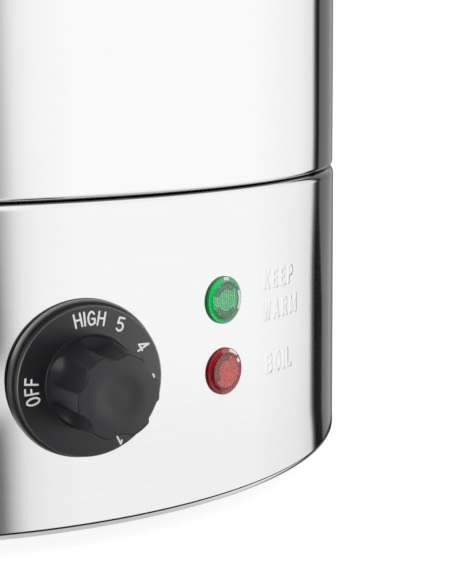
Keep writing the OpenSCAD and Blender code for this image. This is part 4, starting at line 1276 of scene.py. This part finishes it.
@dataclass
class ControlKnob:
    """The black control knob with its printed dial.

    Attributes:
        panel: Where it sits.
        dial_radius: Radius of its dial.
        dial_rise: Height of the dial's face over the wall.
        dial_round: Radius of the dial's rounded edge.
        mark_size: Height of the characters on the dial.
        mark_stroke: Half the width of their strokes.
        rim_radius: Radius of the rim behind the dial.
        rim_rise: Height of the rim's face over the wall.
        waist_radius: Radius of the groove between rim and dial.
        waist_rise: Height of the dial's back over the wall.
        rise: Height of the grip's face over the wall.
        back_gap: Gap between wall and knob.
        rim_round: Radius of the rim's rounded front.
        back_round: Radius of the rim's back edge.
        bore: Radius of the shaft's bore.
        bore_deep: Depth of that bore.
        grip_low: Radius of the grip at its foot.
        grip_top: Radius of the grip at its face.
        grip_fillet: Radius of the fillet at the grip's foot.
        grip_round: Radius of the grip's rounded upper edge.
        flute: Radius of the finger flutes.
        flute_reach: Distance of a flute's axis from the knob's.
        flute_turn: Angle of the first flute in degrees.
        flute_foot: Height at which a flute's round end begins, over the dial's face.
        flutes: Number of flutes.
        dish: Radius of the dish in the grip's face.
        dish_depth: Depth of the dish.
    """

    panel: Panel
    dial_radius: float = 22.8
    dial_rise: float = 6.2
    dial_round: float = 0.35
    mark_size: float = 3.9
    mark_stroke: float = 0.3
    rim_radius: float = 24.1
    rim_rise: float = 2.6
    waist_radius: float = 22.0
    waist_rise: float = 3.4
    rise: float = 28.0
    back_gap: float = 0.5
    rim_round: float = 1.9
    back_round: float = 0.2
    bore: float = 3.05
    bore_deep: float = 16.0
    grip_low: float = 14.1
    grip_top: float = 12.6
    grip_fillet: float = 0.5
    grip_round: float = 0.45
    flute: float = 6.8
    flute_reach: float = 17.9
    flute_turn: float = 93.4
    flute_foot: float = 7.0
    flutes: int = 6
    dish: float = 8.5
    dish_depth: float = 0.18

    def __post_init__(self) -> None:
        """Take the wall's radius and the knob's height from the frame."""
        _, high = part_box("base_shell")
        self.wall = high.x / MM
        self.height = high.z / MM - self.panel.neck_rise - self.panel.knob_drop

    def grip(self, level: Array, angle: Array) -> Array:
        """Radius of the grip at given heights and angles.

        It is the lesser of a cone and, where a flute passes, the near side of the flute's circle:
        reach times cosine minus the root of flute radius squared minus reach times sine squared.
        Below the flute's foot its circle shrinks as a ball does. Beside the circle, where that root
        has no value, the scoop rises out of the way. The two blend over a short width.

        Args:
            level: Heights over the dial's face, one for each row.
            angle: Angles, one for each column.

        Returns:
            Radii by row and column.
        """
        blend, beside = 0.35, 3
        tall = self.rise - self.dial_rise
        cone = self.grip_low + (self.grip_top - self.grip_low) * level / tall
        below = np.clip(self.flute_foot - level, 0, self.flute)
        circle = np.sqrt(np.clip(self.flute ** 2 - below ** 2, 1e-9, None))[:, None]
        turn = 2 * math.pi / self.flutes
        off = (angle - math.radians(self.flute_turn) + turn / 2) % turn - turn / 2
        root = circle ** 2 - (self.flute_reach * np.sin(off)) ** 2
        centre = self.flute_reach * np.cos(off)
        scoop = centre - np.sqrt(np.clip(root, 0, None))
        scoop = np.where(root > 0, scoop, centre + beside * np.sqrt(np.abs(root)))
        gap = np.clip(0.5 + 0.5 * (cone[:, None] - scoop) / blend, 0, 1)
        return cone[:, None] * (1 - gap) + scoop * gap - blend * gap * (1 - gap)

    def lower_outline(self) -> Array:
        """Profile of the bore, the rim, the groove and the dial, up to the grip's foot fillet."""
        support, back_ring, face_ring = 0.15, 6.0, 1.5
        rim, rim_in, back, back_in = self.rim_radius, self.rim_round, self.back_gap, self.back_round
        face, dial, edge = self.dial_rise, self.dial_radius, self.dial_round
        foot = self.grip_low + self.grip_fillet
        outline = Outline(0, back + self.bore_deep).line(self.bore, back + self.bore_deep)
        outline.line(self.bore, back).line(rim - back_in, back, back_ring)
        outline.arc(rim - back_in, back + back_in, back_in, -90, 0, 4)
        outline.arc(rim - rim_in, self.rim_rise - rim_in, rim_in, 0, 90, 16)
        outline.line(self.waist_radius, self.rim_rise)
        outline.line(self.waist_radius, self.waist_rise)
        outline.line(dial, self.waist_rise).line(dial, self.waist_rise + support)
        outline.line(dial, face - edge - support).line(dial, face - edge)
        outline.arc(dial - edge, face - edge, edge, 0, 90, 6)
        outline.line(dial - edge - support, face)
        outline.line(foot + support, face, face_ring).line(foot, face)
        return np.array(outline.points)

    def body(self) -> Shape:
        """The knob as one grid from its shaft's bore over the dial and the grip to the dish."""
        cols, foot_rows, side_rows, edge_rows, dish_rows = 480, 7, 56, 9, 15
        angle = 2 * math.pi * np.arange(cols) / cols
        fillet, edge, least_land, dish_ease = self.grip_fillet, self.grip_round, 0.3, 0.7
        below = self.lower_outline()
        tall = self.rise - self.dial_rise
        foot = np.linspace(0, 1, foot_rows)[1:] * math.pi / 2
        foot_level = fillet * (1 - np.cos(foot))
        foot_out = fillet * (1 - np.sin(foot))
        side_level = np.linspace(fillet, tall - edge, side_rows)[1:]
        round_turn = np.linspace(0, math.pi / 2, edge_rows)[1:]
        edge_level = tall - edge + edge * np.sin(round_turn)
        edge_in = edge * (1 - np.cos(round_turn))
        level = np.concatenate([foot_level, side_level, edge_level])
        shift = np.concatenate([foot_out, 0 * side_level, -edge_in])
        grip = self.grip(level, angle) + shift[:, None]
        rim = grip[-1]
        inner = np.minimum(self.dish, rim - least_land)
        flat_share = np.array([0.04, 0.35, 0.7, 1.0])
        flat = rim + (inner - rim) * flat_share[:, None]
        share = np.linspace(1, 0, dish_rows)[1:-1]
        dish_radius = inner * share[:, None]
        dish_level = tall - self.dish_depth * smoothstep((1 - share) / dish_ease)
        radii = np.vstack([np.repeat(below[:, :1], cols, 1), grip, flat, dish_radius,
                           np.zeros((1, cols))])
        heights = np.concatenate([below[:, 1], self.dial_rise + level, np.full(len(flat), self.rise),
                                  self.dial_rise + dish_level, [self.rise - self.dish_depth]])
        profile = np.column_stack([radii.mean(1), heights])
        profile[0, 0] = 0.0
        shape = turned(profile, cols, radii)
        middle = np.array([shape.points[face].mean(0) for face in shape.faces])
        away = np.hypot(middle[:, 0], middle[:, 1])
        on_rim = (middle[:, 2] < self.rim_rise) & (away > self.waist_radius - 1)
        on_edge = ((away > self.dial_radius - self.dial_round)
                   & (middle[:, 2] > self.dial_rise - self.dial_round))
        # Kind 1 takes the rim's painted highlight, and kind 2 the dial edge's lighter copy of the
        # black as a painted highlight.
        shape.kinds = np.select([on_rim, on_edge], [1, 2], 0).tolist()
        return shape

    def dial(self) -> Shape:
        """The printed scale: each character is set on its arc with its top outward, or leaning."""
        plates: list[Shape] = []
        for mark in DIAL_MARKS:
            widths = [GLYPHS[letter].width * self.mark_size for letter in mark.text]
            reach = sum(widths) + mark.gap * (len(mark.text) - 1)
            turn = mark.at + math.degrees(reach / 2 / mark.middle)
            for letter, width in zip(mark.text, widths):
                turn -= math.degrees(width / 2 / mark.middle)
                plate = print_plate(GLYPHS[letter], self.mark_size, self.mark_stroke)
                plate = plate.moved(-width / 2, -self.mark_size / 2).spun(mark.lean)
                plates.append(plate.moved(y=mark.middle).spun(turn - 90))
                turn -= math.degrees((width / 2 + mark.gap) / mark.middle)
        return sum(plates[1:], plates[0])

    def build(self) -> bpy.types.Object:
        """Make the knob and its print, and give back the knob."""
        sunk, crease = 0.02, 35
        knob = self.body().moved(z=self.wall).facing(self.panel.turn, self.height)
        finishes = [Slot.BLACK_PLASTIC.material, Extra.KNOB_RIM.material, Extra.KNOB_EDGE.material]
        moulding = knob.object("control_knob_moulding", finishes, crease)
        place_piece(moulding, "knob", Slot.BLACK_PLASTIC, "control_knob")
        dial = self.dial().moved(z=self.wall + self.dial_rise - sunk)
        dial = dial.facing(self.panel.turn, self.height)
        piece = dial.object("dial_print", [Extra.DIAL_PRINT.material], crease)
        place_piece(piece, "knob")
        return moulding


def print_plate(glyph: Glyph, size: float, half: float) -> Shape:
    """A thin raised plate in the shape of a character.

    Cells of a fine grid are kept where their middle is within half a stroke of a centre line, and
    outer points slide onto the stroke's edge, along the slope of the distance.

    Args:
        glyph: The character.
        size: Height of its box.
        half: Half the width of its strokes.

    Returns:
        The closed plate, standing on z = 0.
    """
    grain, thick = 0.1, 0.06
    strokes = [line * size for line in glyph.strokes]
    margin = half + 2 * grain
    across = np.arange(-margin, glyph.width * size + margin + grain, grain)
    up = np.arange(-margin, size + margin + grain, grain)
    grid = np.stack(np.meshgrid(across, up), -1)
    rows, cols = grid.shape[:2]
    flat = grid.reshape(-1, 2)
    middle = (grid[:-1, :-1] + grid[1:, 1:]) / 2
    kept = stroke_distance(middle.reshape(-1, 2), strokes) < half
    faces = grid_faces(rows, cols, closed=False)[kept]
    edges = np.vstack([faces[:, [i, (i + 1) % 4]] for i in range(4)])
    keys = {tuple(edge) for edge in edges.tolist()}
    rim = np.array([edge for edge in edges.tolist() if (edge[1], edge[0]) not in keys])
    outer = np.unique(rim)
    passes, step, least_slope = 3, 1e-3, 0.3
    for _ in range(passes):
        spot = flat[outer]
        here = stroke_distance(spot, strokes)
        slope = np.column_stack([stroke_distance(spot + d, strokes) - here
                                 for d in (np.array([step, 0]), np.array([0, step]))]) / step
        slope /= np.maximum(np.linalg.norm(slope, axis=1), least_slope)[:, None]
        flat[outer] = spot + slope * np.clip(half - here, -grain, grain)[:, None]
    used = np.unique(faces)
    index = np.full(len(flat), -1)
    index[used] = np.arange(len(used))
    count = len(used)
    low = np.column_stack([flat[used], np.zeros(count)])
    high = np.column_stack([flat[used], np.full(count, thick)])
    top = index[faces] + count
    bottom = index[faces][:, ::-1]
    start, end = index[rim].T
    walls = np.column_stack([start, end, end + count, start + count])
    return Shape(np.vstack([low, high]), np.vstack([top, bottom, walls]).tolist())


class LensZone(IntEnum):
    """The stretches of a lens's profile, from the end of its bore over its back to its front."""

    DISC = 0
    RING = 1
    BARREL = 2
    RIM = 3
    FLANGE = 4
    SIDE = 5
    EDGE = 6
    FRONT = 7


class LensPart(IntEnum):
    """The parts of a lens that have a finish of their own."""

    FRONT = 0
    SIDE = 1
    FACE = 2
    RING = 3
    RIM = 4
    GLINT = 5
    PALE = 6


def within(angle: Array, start: float, stop: float) -> Array:
    """Whether each angle in degrees lies on the way from a start to a stop, against the clock."""
    return (angle - start) % 360 < (stop - start) % 360


@dataclass
class LampLens:
    """A clear tinted lamp lens: a flange on the wall, a cap in front and a hollow barrel behind.

    Its levels are counted outward from the wall.

    Attributes:
        name: Name of the piece.
        node: CAD node that it stands for.
        slot: Its material slot, which its front shows.
        side: Finish of its deeper tinted side.
        pale: Finish of that side where light from the right fills it: a paler copy, painted light.
        face: Finish of the ribbed end of its bore.
        rim: Finish of the flange's edge, a darker opaque copy of the tint as painted shade.
        shades: Spans of the ring round that end that are painted dark as shade, as angles in
            degrees.
        glints: Spans where glints are painted on the flange and on the cap's edge, as angles in
            degrees.
        panel: Where it sits.
        drop: Distance of its centre below the seam.
        filled: Span where the side is painted pale as light, as angles in degrees.
        flange: Radius of the flange.
        flange_thick: Thickness of the flange.
        lip: Radius of the flange's rounded edge.
        cap: Radius of the cap.
        front: Level of the cap's face.
        edge: Radius of the cap's rounded edge.
        gleam: How far a painted glint on that edge runs on over the face.
        barrel: Radius of the barrel.
        back: Level of the barrel's end.
        bore: Radius of the bore.
        end: Level of the bore's ribbed end.
        disc: Radius of that end.
        ring: Radius of the ring round it.
    """

    name: str
    node: str
    slot: Slot
    side: Extra
    pale: Extra
    face: Extra
    rim: Extra
    shades: tuple[tuple[float, float], ...]
    glints: tuple[tuple[float, float], tuple[float, float]]
    panel: Panel
    drop: float
    filled: tuple[float, float] = (255, 105)
    flange: float = 7.6
    flange_thick: float = 0.8
    lip: float = 0.25
    cap: float = 6.2
    front: float = 2.0
    edge: float = 0.35
    gleam: float = 0.8
    barrel: float = 5.9
    back: float = -12.35
    bore: float = 4.7
    end: float = 1.0
    disc: float = 3.5
    ring: float = 5.2

    def outline(self) -> Outline:
        """Its profile, from the middle of the bore's end to the middle of the front."""
        flange, thick, lip, cap = self.flange, self.flange_thick, self.lip, self.cap
        front, edge = self.front, self.edge
        drop, land, fillet, middle = 0.15, 0.1, 0.2, 2.0
        ring_foot, bore_top, disc_ring, front_ring = 0.1, -0.3, 0.65, 1.5
        outline = Outline(0, self.end).line(self.disc, self.end, disc_ring).mark(LensZone.DISC)
        outline.line(self.ring, self.end - drop).mark(LensZone.RING)
        outline.line(self.ring, ring_foot).line(self.bore, bore_top).line(self.bore, self.back)
        outline.line(self.barrel, self.back).line(self.barrel, 0.0)
        outline.line(flange - lip, 0.0).mark(LensZone.BARREL)
        outline.arc(flange - lip, lip, lip, -90, 0, 4).line(flange, thick - lip)
        outline.arc(flange - lip, thick - lip, lip, 0, 90, 4).mark(LensZone.RIM)
        outline.line(flange - lip - land, thick).line(cap + fillet, thick).mark(LensZone.FLANGE)
        outline.line(cap, thick + fillet).line(cap, front - edge).mark(LensZone.SIDE)
        outline.arc(cap - edge, front - edge, edge, 0, 90, 6)
        outline.line(cap - edge - self.gleam, front).mark(LensZone.EDGE)
        return outline.line(middle, front, front_ring).line(0.0, front).mark(LensZone.FRONT)

    def body(self) -> Shape:
        """The lens as one turned shape, each face marked with its part.

        A turned shape lists the faces between its rings row by row, and after them the fans of its
        first and its last side.
        """
        cols = 96
        outline = self.outline()
        shape = turned(np.array(outline.points), cols)
        rows = np.array(outline.zones)
        zone = np.repeat(np.concatenate([rows[1:-1], rows[:1], rows[-1:]]), cols)
        angle = np.tile((np.arange(cols) + 0.5) * 360 / cols, len(rows))
        dark = np.any([within(angle, *shade) for shade in self.shades], axis=0)
        flange_glint, edge_glint = (within(angle, *glint) for glint in self.glints)
        tinted = np.isin(zone, [LensZone.BARREL, LensZone.FLANGE, LensZone.SIDE])
        on_flange, on_edge = zone == LensZone.FLANGE, zone == LensZone.EDGE
        # Painted shade and light: the ring's dark spans, the flange's rim, the glints and the pale
        # side.
        parts = {
            LensPart.RING: (zone == LensZone.RING) & dark,
            LensPart.FACE: (zone == LensZone.DISC) | (zone == LensZone.RING),
            LensPart.GLINT: (on_flange & flange_glint) | (on_edge & edge_glint),
            LensPart.RIM: zone == LensZone.RIM,
            LensPart.PALE: tinted & within(angle, *self.filled),
            LensPart.SIDE: tinted,
        }
        shape.kinds = np.select(list(parts.values()), list(parts), LensPart.FRONT).tolist()
        return shape

    def build(self) -> None:
        """Make the lens and let it stand for the CAD's."""
        _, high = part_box("base_shell")
        height = high.z / MM - self.panel.neck_rise - self.drop
        crease = 30
        lens = self.body().moved(z=high.x / MM).facing(self.panel.lamp_turn, height)
        finishes = {LensPart.FRONT: self.slot, LensPart.SIDE: self.side, LensPart.FACE: self.face,
                    LensPart.RING: Extra.LENS_RING, LensPart.RIM: self.rim,
                    LensPart.GLINT: Extra.LENS_GLINT, LensPart.PALE: self.pale}
        piece = lens.object(self.name, [finishes[part].material for part in LensPart], crease)
        place_piece(piece, "urn", self.slot, self.node)


# ---------- scene ----------


def place_piece(piece: bpy.types.Object, body: str, slot: Slot | None = None, *nodes: str) -> None:
    """Let a piece ride on a body and stand for CAD nodes.

    Args:
        piece: The new piece.
        body: Name of the body that carries it.
        slot: Not used.
        *nodes: CAD nodes that it stands for.
    """
    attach(piece, body)
    if nodes:
        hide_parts(*nodes)


def dress_nodes(nodes: dict[str, bpy.types.Object]) -> None:
    """Give every CAD node the finish of its material slots."""
    finishes = {slot.key: slot for slot in Slot}
    for name, node in nodes.items():
        for place in node.material_slots:
            key = place.material.name.split(".")[0]
            if key in finishes:
                place.material = finishes[key].material
            else:
                LOG.warning("%s has the unknown slot %s", name, key)


@dataclass(frozen=True)
class Viewpoint:
    """The camera.

    Attributes:
        place: Its position in millimetres.
        heading: Turn of its view from +Y towards +X, in degrees.
        pitch: Downward tilt in degrees.
        roll: Turn about its own axis in degrees.
        lens: Focal length for a 36 mm wide film.
    """

    place: tuple[float, float, float] = (136.55, -563.13, 154.4)
    heading: float = -2.76
    pitch: float = 9.5
    roll: float = -0.41
    lens: float = 91.55

    def build(self) -> bpy.types.Object:
        """Make the camera and make it the scene's own."""
        heading, pitch, roll = (math.radians(v) for v in (self.heading, self.pitch, self.roll))
        up = Vector((0, 0, 1))
        level = Vector((math.sin(heading), math.cos(heading), 0))
        right = Vector((math.cos(heading), -math.sin(heading), 0))
        ahead = level * math.cos(pitch) - up * math.sin(pitch)
        above = up * math.cos(pitch) + level * math.sin(pitch)
        side = right * math.cos(roll) + above * math.sin(roll)
        top = above * math.cos(roll) - right * math.sin(roll)
        camera = bpy.data.objects.new("camera", bpy.data.cameras.new("camera"))
        camera.data.lens = self.lens
        camera.data.clip_start = 0.01
        turn = Matrix((side, top, -ahead)).transposed().to_4x4()
        camera.matrix_world = Matrix.Translation(Vector(self.place) * MM) @ turn
        bpy.context.scene.collection.objects.link(camera)
        bpy.context.scene.camera = camera
        return camera


@dataclass(frozen=True)
class Card:
    """A dark panel that the steel mirrors.

    Attributes:
        azimuth: Where its middle is, in degrees.
        half: Half its width in degrees.
        soft: Width of its soft left and right edges in degrees.
        level: Brightness that it lets through, where 1 changes nothing.
        flare: How many degrees wider it gets on its right towards the table.
    """

    azimuth: float
    half: float
    soft: tuple[float, float]
    level: float
    flare: float = 0.0


@dataclass(frozen=True)
class Lamp:
    """A square soft lamp.

    Attributes:
        name: Its name.
        place: Its position in metres.
        size: Its side in metres.
        power: Its power in watts.
        target: The point that it faces, in metres.
    """

    name: str
    place: tuple[float, float, float]
    size: float
    power: float
    target: tuple[float, float, float] = (0.0, 0.0, 0.2)

    def build(self) -> bpy.types.Object:
        """Make the lamp and turn it to its target."""
        light = bpy.data.lights.new(self.name, "AREA")
        light.size = self.size
        light.energy = self.power
        lamp = bpy.data.objects.new(self.name, light)
        ahead = Vector(self.target) - Vector(self.place)
        turn = ahead.to_track_quat("-Z", "Y").to_matrix().to_4x4()
        lamp.matrix_world = Matrix.Translation(self.place) @ turn
        bpy.context.scene.collection.objects.link(lamp)
        return lamp


# The point in metres that the knob's lamps face
KNOB_SPOT = (0.076, -0.137, 0.056)

# First and last angle in degrees, and the values there where they aren't 0 and 1
Fade = tuple[float, ...]


@dataclass(frozen=True)
class Studio:
    """A soft white studio: floor, mirrored surroundings and lamps.

    A fade is a smooth step by azimuth or elevation: its first and last angle in degrees and the
    values there, which are 0 and 1 where it has only the angles.

    Attributes:
        dome: Brightness of the mirrored surroundings.
        ambient: Brightness that lights dull surfaces.
        wall: Brightness of the surroundings by azimuth in degrees.
        cards: Panels in front of the surroundings.
        lean: Fade by elevation: degrees that the surroundings lean to the left near the table.
        lean_side: Fade by azimuth: share of that lean.
        lean_foot: Fade by elevation: share of that lean.
        table: Fade by elevation: brightness of the table's far edge.
        sides: Fade by elevation from the table to the surroundings.
        below: Fade by elevation: brightness of the table.
        ceiling: Fade by elevation from the surroundings to a white ceiling.
        window: Fades of a bright window: two by elevation and two by azimuth.
        window_level: Its brightness.
        lamps: Lamps that mirrors don't see.
        knob_lamps: Lamps that only the knob sees: one on its right, a weaker one on its left.
    """

    dome: float = 1.05
    ambient: float = 0.55
    wall: tuple[tuple[float, float], ...] = (
        (-180.0, 0.8), (-150.0, 0.5), (-118.0, 0.25), (-112.0, 0.9), (-90.0, 1.0), (-18.0, 1.0),
        (-4.0, 0.3), (24.0, 0.26), (27.0, 0.33), (28.5, 0.46), (30.0, 0.58), (31.7, 0.76),
        (33.8, 0.87), (37.4, 0.94), (48.0, 1.0), (107.0, 1.0), (133.0, 0.9), (142.6, 0.77),
        (143.6, 0.5), (144.7, 0.14), (146.2, 0.04), (147.6, 0.035), (150.2, 0.127), (155.0, 0.15),
        (161.2, 0.21), (168.0, 0.34), (171.5, 0.2), (180.0, 0.2))
    cards: tuple[Card, ...] = (
        Card(10.0, 16.5, (4.0, 4.0), 0.55, 1.2),
        Card(148.0, 1.0, (1.5, 2.5), 0.12, 6.0),
        Card(-120.0, 3.0, (1.0, 2.0), 0.1),
    )
    lean: Fade = (-9.5, -3.0, 2.8, 0.0)
    lean_side: Fade = (100.0, 130.0)
    lean_foot: Fade = (-15.2, -13.8, 0.3, 1.0)
    table: Fade = (-16.0, -11.0, 0.94, 1.0)
    sides: Fade = (-45.0, -30.0)
    below: Fade = (-60.0, -20.0, 0.6, 0.95)
    ceiling: Fade = (20.0, 50.0)
    window: tuple[Fade, Fade, Fade, Fade] = ((-14.5, -13.8), (-12.4, -11.7, 1.0, 0.0),
                                             (33.0, 36.0, 1.0, 0.0), (14.0, 20.0))
    window_level: float = 0.9
    lamps: tuple[Lamp, ...] = (
        Lamp("side_light", (1.3, -0.9, 0.7), 1.0, 9.0),
        Lamp("front_light", (-0.6, -1.6, 1.2), 1.2, 9.0),
        Lamp("back_light", (-0.4, 1.6, 1.2), 1.4, 14.0),
        Lamp("top_light", (0.0, 0.0, 2.2), 1.2, 14.0),
    )
    knob_lamps: tuple[Lamp, ...] = (
        Lamp("knob_light", (0.31, -0.24, 0.02), 0.1, 0.7, KNOB_SPOT),
        Lamp("knob_fill", (-0.11, -0.297, 0.065), 0.22, 0.8, KNOB_SPOT),
    )

    def build(self) -> None:
        """Make the world, the floor and the lamps."""
        self.world()
        self.floor()
        self.shade_ring()
        for lamp in self.lamps:
            lamp.build().visible_glossy = False

    def world(self) -> None:
        """White to the camera, soft to dull surfaces, and a room of cards to mirrors."""
        world = bpy.data.worlds.new("studio")
        bpy.context.scene.world = world
        world.use_nodes = True
        graph = Graph(world.node_tree)
        mirror = graph.term("LightPath", "Is Glossy Ray")
        seen = graph.seen()
        other = (1.0 - mirror) * (1.0 - seen)
        strength = self.room(graph) * mirror + seen + other * self.ambient
        light = graph.term("Background", 0, {"Color": (1, 1, 1, 1), "Strength": strength})
        graph.add("OutputWorld", {0: light})

    def room(self, graph: Graph) -> Term:
        """Brightness of the mirrored room.

        The azimuth is the arc tangent of x over minus y, and the elevation the arc sine of z.
        """
        x, y, z = graph.split(graph.term("TexCoord", "Generated"))
        azimuth = graph.math("ARCTAN2", x, y * -1.0) * math.degrees(1)
        elevation = graph.math("ARCSINE", z) * math.degrees(1)
        lean = graph.ease(elevation, *self.lean) * graph.ease(azimuth, *self.lean_side)
        azimuth = azimuth + lean * graph.ease(elevation, *self.lean_foot)
        room = self.surroundings(graph, azimuth) * self.dome
        for card in self.cards:
            room = room * self.card(graph, card, azimuth, elevation)
        sides = graph.ease(elevation, *self.sides)
        room = room * graph.ease(elevation, *self.table) * sides
        room = room + (1.0 - sides) * graph.ease(elevation, *self.below)
        ceiling = graph.ease(elevation, *self.ceiling)
        room = room * (1.0 - ceiling) + ceiling
        foot, head, right, left = self.window
        window = graph.ease(elevation, *foot) * graph.ease(elevation, *head)
        window = window * graph.ease(azimuth, *right) * graph.ease(azimuth, *left)
        return graph.math("MAXIMUM", room, window * self.window_level)

    def surroundings(self, graph: Graph, azimuth: Term) -> Term:
        """Brightness of the surroundings, which runs straight between the points of the wall."""
        ramp = graph.add("ValToRGB", {0: (azimuth + 180.0) * (1 / 360)})
        ramp.color_ramp.interpolation = "LINEAR"
        stops = ramp.color_ramp.elements
        for at, level in self.wall[1:-1]:
            stops.new((at + 180) / 360).color = (level, level, level, 1)
        for stop, (_, level) in ((stops[0], self.wall[0]), (stops[-1], self.wall[-1])):
            stop.color = (level, level, level, 1)
        return Term(graph, ramp.outputs[0])

    def card(self, graph: Graph, card: Card, azimuth: Term, elevation: Term) -> Term:
        """Brightness that a card lets through.

        Args:
            graph: The world's node tree.
            card: The card.
            azimuth: The ray's azimuth.
            elevation: The ray's elevation.

        Returns:
            1 outside the card and its level inside.
        """
        flared, straight = -10.5, -4.5
        left, right = card.half + card.soft[0] / 2, card.half + card.soft[1] / 2
        off = graph.math("WRAP", azimuth - card.azimuth, 180.0, -180.0)
        mask = graph.ease(off, -left, -left + card.soft[0])
        off = off - graph.ease(elevation, flared, straight, card.flare, 0.0)
        mask = mask * graph.ease(off, right - card.soft[1], right, 1.0, 0.0)
        return 1.0 - mask * (1.0 - card.level)

    def floor(self) -> None:
        """A wide pale floor that keeps a faint shadow; mirrors see the room instead."""
        half, grey, glow = 6.0, 0.4, 0.8
        corners = [(-half, -half, 0), (half, -half, 0), (half, half, 0), (-half, half, 0)]
        floor, graph = stage_mesh("floor", corners, [(0, 1, 2, 3)])
        dull = graph.term("BsdfDiffuse", 0, {"Color": (grey, grey, grey, 1)})
        bright = graph.term("Emission", 0, {"Strength": graph.seen() * glow})
        both = graph.term("AddShader", 0, {0: dull, 1: bright})
        clear = graph.term("BsdfTransparent", 0)
        back = graph.term("NewGeometry", "Backfacing")
        graph.add("OutputMaterial", {0: graph.term("MixShader", 0, {0: back, 1: both, 2: clear})})
        floor.visible_glossy = False

    def shade_ring(self) -> None:
        """A dark ring on the table that only mirrors see: it draws the line along the hem.

        Its outer edge draws in, by a smooth step, on the sides that the camera sees at a slant.
        """
        inner, outer, slimmer, front, cols = 159.0, 176.0, 12.0, 14.0, 96
        full, fade, rise, glow = 16, 50, 0.2, 0.03
        azimuth = 360 * np.arange(cols) / cols
        away = np.abs((azimuth - front + 180) % 360 - 180)
        reach = outer - slimmer * smoothstep((away - full) / fade)
        ray = np.column_stack([np.sin(np.radians(azimuth)), -np.cos(np.radians(azimuth))])
        flat = np.vstack([ray * inner, ray * reach[:, None]]) * MM
        points = np.column_stack([flat, np.full(2 * cols, rise * MM)])
        around = np.arange(cols)
        after = (around + 1) % cols
        faces = np.column_stack([around, around + cols, after + cols, after])
        ring, graph = stage_mesh("shade_ring", points.tolist(), faces.tolist())
        dim = graph.term("Emission", 0, {"Color": (1, 1, 1, 1), "Strength": glow})
        graph.add("OutputMaterial", {0: dim})
        ring.visible_camera = ring.visible_diffuse = False
        ring.visible_shadow = ring.visible_transmission = False

    def light_knob(self, knob: bpy.types.Object) -> None:
        """Make the lamps that only the knob sees."""
        for lamp in self.knob_lamps:
            lit = bpy.data.collections.new("lit_by_" + lamp.name)
            lit.objects.link(knob)
            lamp.build().light_linking.receiver_collection = lit


def stage_mesh(name: str, points: list, faces: list) -> tuple[bpy.types.Object, Graph]:
    """A mesh object of the stage, with one material.

    Args:
        name: Name of the object and its material.
        points: Its points in metres.
        faces: Corner indices of its faces.

    Returns:
        The object, and its material's emptied node tree.
    """
    mesh = bpy.data.meshes.new(name)
    mesh.from_pydata(points, [], faces)
    material, graph = new_material(name)
    mesh.materials.append(material)
    piece = bpy.data.objects.new(name, mesh)
    bpy.context.scene.collection.objects.link(piece)
    return piece, graph


def lenses(panel: Panel) -> tuple[LampLens, LampLens]:
    """The green lens above and the red one below."""
    upper, lower = panel.lamp_drops
    # shades are spans of painted shade, and glints are spans of painted glints.
    green = LampLens("green_lens", "lamp_lens_upper", Slot.LENS_GREEN, Extra.GREEN_SIDE,
                     Extra.GREEN_PALE, Extra.GREEN_FACE, Extra.GREEN_RIM,
                     shades=((45, 160), (205, 320)), glints=((74, 92), (328, 30)),
                     panel=panel, drop=upper)
    red = LampLens("red_lens", "lamp_lens_lower", Slot.LENS_RED, Extra.RED_SIDE,
                   Extra.RED_PALE, Extra.RED_FACE, Extra.RED_RIM,
                   shades=((75, 215),), glints=((40, 76), (25, 40)),
                   panel=panel, drop=lower)
    return green, red


def main() -> None:
    """Build the camera, the studio and every sub-assembly."""
    logging.basicConfig(level=logging.INFO, format="%(name)s: %(message)s")
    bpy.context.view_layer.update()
    bpy.context.scene.view_settings.view_transform = "Standard"
    panel = Panel()
    Viewpoint().build()
    studio = Studio()
    studio.build()
    dress_nodes(frame["nodes"])
    Tank().build()
    Base(panel).build()
    studio.light_knob(ControlKnob(panel).build())
    for lens in lenses(panel):
        lens.build()


if __name__ == "__main__":
    main()
